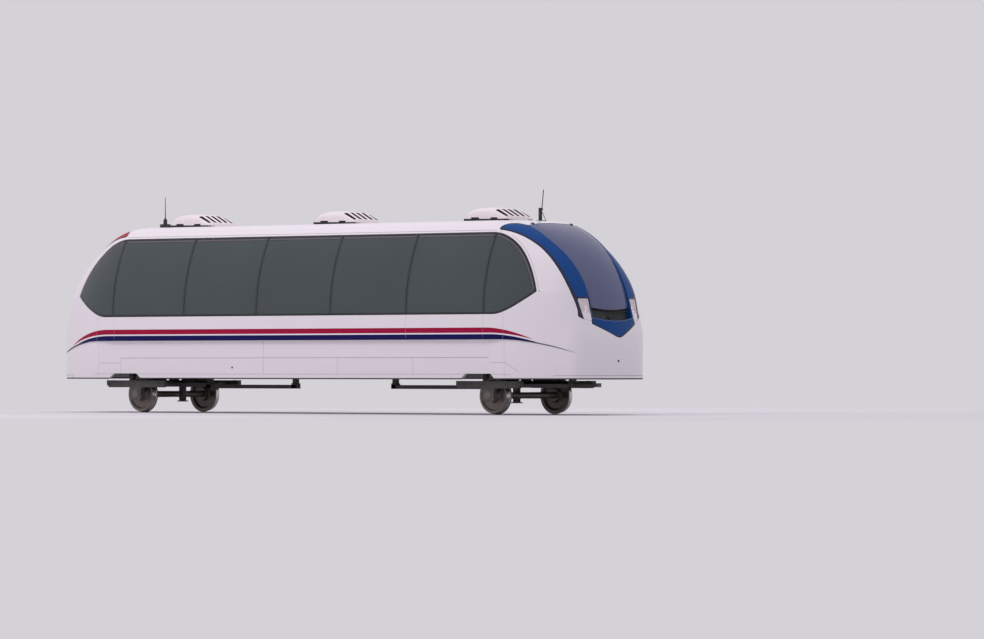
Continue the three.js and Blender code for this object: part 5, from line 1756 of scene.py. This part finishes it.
def plan_outline(inset, step, z):
    """Plan outline of the recessed skirt at a height, set in by an amount."""
    quarter = quarter_plan(z)
    quarter[:, 1] -= recess_at(quarter[:, 0]) * (quarter[:, 1] > RECESS_FADE)
    run = np.gradient(quarter, axis=0)
    normal = np.stack([-run[:, 1], run[:, 0]], 1)
    normal /= np.linalg.norm(normal, axis=1, keepdims=True)
    sign = np.where((normal @ np.array([1.0, 1.0])) > 0, 1, -1)
    moved_in = (quarter - normal * sign[:, None] * inset)[::step]
    moved_in[0, 0] = 0.0
    moved_in = np.vstack([moved_in, [[moved_in[-1, 0], 0.0]]])
    front = [(x, -y) for x, y in moved_in] + [(x, y) for x, y in moved_in[-2::-1]]
    rear = [(-x, -y) for x, y in front]
    return front[:-1] + rear[:-1]


def build_underframe():
    deck = Piece("deck_and_members", "underframe")
    deck.prism(plan_outline(DECK_INSET, 4, 0.5), "z", *DECK)
    foot, top = MEMBER_FOOT, DECK[0]
    for x in MEMBERS:
        deck.block(x, 0, 0.006, MEMBER_HALF, foot + 0.006, top + 0.004, 0.001)
        deck.block(x, 0, 0.05, MEMBER_HALF, foot, foot + 0.01, 0.003)
        deck.block(x, 0, 0.05, MEMBER_HALF, top - 0.01, top + 0.004, 0.003)
        for y in (-1.05, -0.75, -0.25, 0.25, 0.75, 1.05):
            deck.block(x, y, 0.045, 0.004, foot + 0.008, top, 0.001)
    deck.finish()
    low, high = BEAM
    for side, sign in SIDES:
        y = sign * BEAM_Y
        beam = Piece(f"sill_beam_{side}", f"long_beam_{side}")
        beam.block(0, y, BEAM_HALF, 0.048, low + 0.004, high - 0.004, 0.003)
        for z in (low, high - 0.012):
            beam.block(0, y, BEAM_HALF, 0.06, z, z + 0.012, 0.003)
        for x in (-JACK_PAD_X, JACK_PAD_X):
            beam.block(x, y, 0.08, 0.05, low - 0.02, low + 0.004, 0.003, STEEL)
            for dx in (-0.11, 0.11):
                beam.block(x + dx, y, 0.005, 0.058, low + 0.008, high - 0.008, 0.001)
        for x in np.arange(-5.2, 5.3, 1.3):
            beam.block(x, y, 0.004, 0.057, low + 0.008, high - 0.008, 0.001)
        beam.finish()


def build_bolster(end, x):
    bolster = Piece(f"bolster_beam_{end}", f"bolster_{end}")
    bolster.block(x, 0, 0.28, 0.72, SKIRT + 0.11, SKIRT + 0.1497, 0.005)
    bolster.block(x, 0, 0.2, 0.4, SKIRT + 0.145, DECK[0] - 0.0003, 0.005)
    for dx in (-0.235, 0.235):
        for y in np.linspace(-0.66, 0.66, 9):
            bolster.bolt((x + dx, y, SKIRT + 0.1495), "z", 0.009, 0.007)
    bolster.finish()


def build_bar(end, way):
    bar = Piece(f"hung_bar_{end}", f"low_bar_{end}")
    low, high = sorted(way * x for x in BAR_SPAN)
    half, (z0, z1) = BAR_HALF, BAR_Z
    inside, floor = half - BAR_SHEET, z0 + BAR_SHEET
    channel = [(-half, z0), (half, z0), (half, z1), (inside, z1), (inside, floor), (-inside, floor),
               (-inside, z1), (-half, z1)]
    bar.prism(channel, "x", low, high, 0.002)
    for at in (low + half, high - half):
        bar.block(at, 0, half, half, z0 + 0.004, z0 + 0.1, 0.004)
        bar.block(at, 0, 0.045, 0.045, z0 + 0.05, BEAM[1] - 0.004, 0.004)
        bar.block(at, 0, half, half, BEAM[1] - 0.018, BEAM[1], 0.003)
    bar.finish()


def build_tow_bar(end, way):
    tow = Piece(f"draw_bar_{end}", f"tow_bar_{end}")
    post = way * TOW_POST
    z0, z1 = TOW_Z
    tow.block(post, 0, 0.05, 0.05, z0 + 0.01, BEAM[1] - 0.004, 0.005)
    tow.block(post, 0, 0.06, 0.06, BEAM[1] - 0.018, BEAM[1], 0.003)
    tow.block(post, 0, 0.06, 0.06, z0, z0 + 0.1, 0.005)
    near, far = sorted((post, way * (TOW_END - 0.1)))
    tow.box((near, -0.05, z0 + 0.004), (far, 0.05, z1 - 0.004), 0.004)
    eye = [(0.026, z0), (0.058, z0), (0.06, z0 + 0.004), (0.06, z1 - 0.004), (0.058, z1), (0.026, z1)]
    tow.lathe(eye, (way * (TOW_END - 0.06), 0, 0), "z", STEEL, 40, looped=True)
    tow.finish()


def build_skirt_edge():
    """Rubber edge under the skirt, left out over the trucks."""
    edge = Piece("skirt_rubber_edge")
    outline = plan_outline(EDGE_INSET, 2, 0.0)
    over_truck = [abs(abs(x) - TRUCK_X) < HUMP_HALF + 0.01 for x, _ in outline]
    start = over_truck.index(True)
    run = []
    for i in range(start, start + len(outline) + 1):
        place = i % len(outline)
        if not over_truck[place]:
            run.append((*outline[place], SKIRT - EDGE_LOW))
        elif run:
            edge.tube(run, EDGE_RADIUS, RUBBER, 12)
            run = []
    edge.finish()


build_underframe()
build_skirt_edge()
for end, way, _, _ in ENDS:
    build_bolster(end, way * TRUCK_X)
    build_bar(end, way)
    build_tow_bar(end, way)


# Inside: moulded benches, grab rails and the floor's cover

FLOOR_Z = SKIRT + FLOOR_TOP + 0.0003
BENCH_HALF = 0.8
BENCH_STATIONS = 61
SEATS = 3
BENCH_SIDE = [
    (4.985, 0.002), (5.375, 0.002), (5.42, 0.30), (5.498, 0.86), (5.493, 0.878), (5.44, 0.878),
    (5.427, 0.865), (5.40, 0.70), (5.375, 0.54), (5.345, 0.47), (5.29, 0.448), (5.12, 0.442),
    (4.98, 0.449), (4.955, 0.440), (4.952, 0.40), (4.972, 0.392),
]
BENCH_FIRM = {0, 1, 2, 3, 14, 15}  # points of the outline that the seat hollows don't move
BENCH_BACK = range(10)  # points that a hollow moves back
SEAT_HOLLOW = 0.022
RAIL_RADIUS = 0.017
RAIL_SIDES = 24
RAIL_Y = 0.52
RAIL_Z = SKIRT + 2.33
RAIL_HALF = 3.1
POSTS_X = (-PANE_PITCH / 2, PANE_PITCH / 2)
CEILING_Z = SKIRT + ROOF_TOP - WALL - 0.0013
RAIL_FLANGE = [(0, 0), (0.036, 0), (0.036, 0.006), (0.021, 0.012), (0.021, 0.03), (0, 0.03)]
RAIL_SLEEVE = [(0, -0.035), (0.0195, -0.035), (0.023, -0.03), (0.023, 0.03), (0.0195, 0.035), (0, 0.035)]


def build_bench(end, way):
    bench = Piece(f"moulded_bench_{end}", f"bench_{end}", "seat_shell")
    rings = []
    for y in np.linspace(-BENCH_HALF, BENCH_HALF, BENCH_STATIONS):
        share = (y + BENCH_HALF) / (2 * BENCH_HALF) * SEATS % 1.0
        hollow = SEAT_HOLLOW * math.sin(math.pi * share) ** 0.6 if 0.02 < share < 0.98 else 0.0
        ring = []
        for n, (x, z) in enumerate(BENCH_SIDE):
            sink = 0.0 if n in BENCH_FIRM else hollow
            down = sink if n > 8 else sink * 0.1
            back = sink if n in BENCH_BACK else 0.0
            ring.append((way * (x + back * 0.6), y, FLOOR_Z + z - down))
        rings.append(ring)
    bench.loft(rings, SEAT)
    bench.finish(40)


def build_grab_rails():
    rails = Piece("grab_rail_tubes", "grab_rails", "rail_tube")

    def rail(start, end):
        rails.tube([start, end], RAIL_RADIUS, RAIL, RAIL_SIDES)

    def sleeve(x, y, z, axis):
        rails.lathe(RAIL_SLEEVE, (x, y, z), axis, STEEL, RAIL_SIDES)

    for y in (-RAIL_Y, RAIL_Y):
        rail((-RAIL_HALF, y, RAIL_Z), (RAIL_HALF, y, RAIL_Z))
        for x in POSTS_X:
            rail((x, y, FLOOR_Z), (x, y, RAIL_Z))
            rails.lathe(RAIL_FLANGE, (x, y, FLOOR_Z), "z", STEEL, RAIL_SIDES)
            sleeve(x, y, RAIL_Z, "x")
            sleeve(x, y, RAIL_Z - 0.03, "z")
        for x in (-3.0, 3.0):
            rail((x, y, RAIL_Z), (x, y, CEILING_Z))
            rails.lathe(RAIL_FLANGE, (x, y, CEILING_Z), "z", STEEL, RAIL_SIDES, -1)
            sleeve(x, y, RAIL_Z, "x")
    for x in POSTS_X:
        rail((x, -RAIL_Y, RAIL_Z), (x, RAIL_Y, RAIL_Z))
    rails.finish()


for end, way, _, _ in ENDS:
    build_bench(end, way)
build_grab_rails()
floor_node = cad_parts["floor"]
floor_node.data.materials.clear()
floor_node.data.materials.append(FLOOR)

bpy.context.view_layer.update()
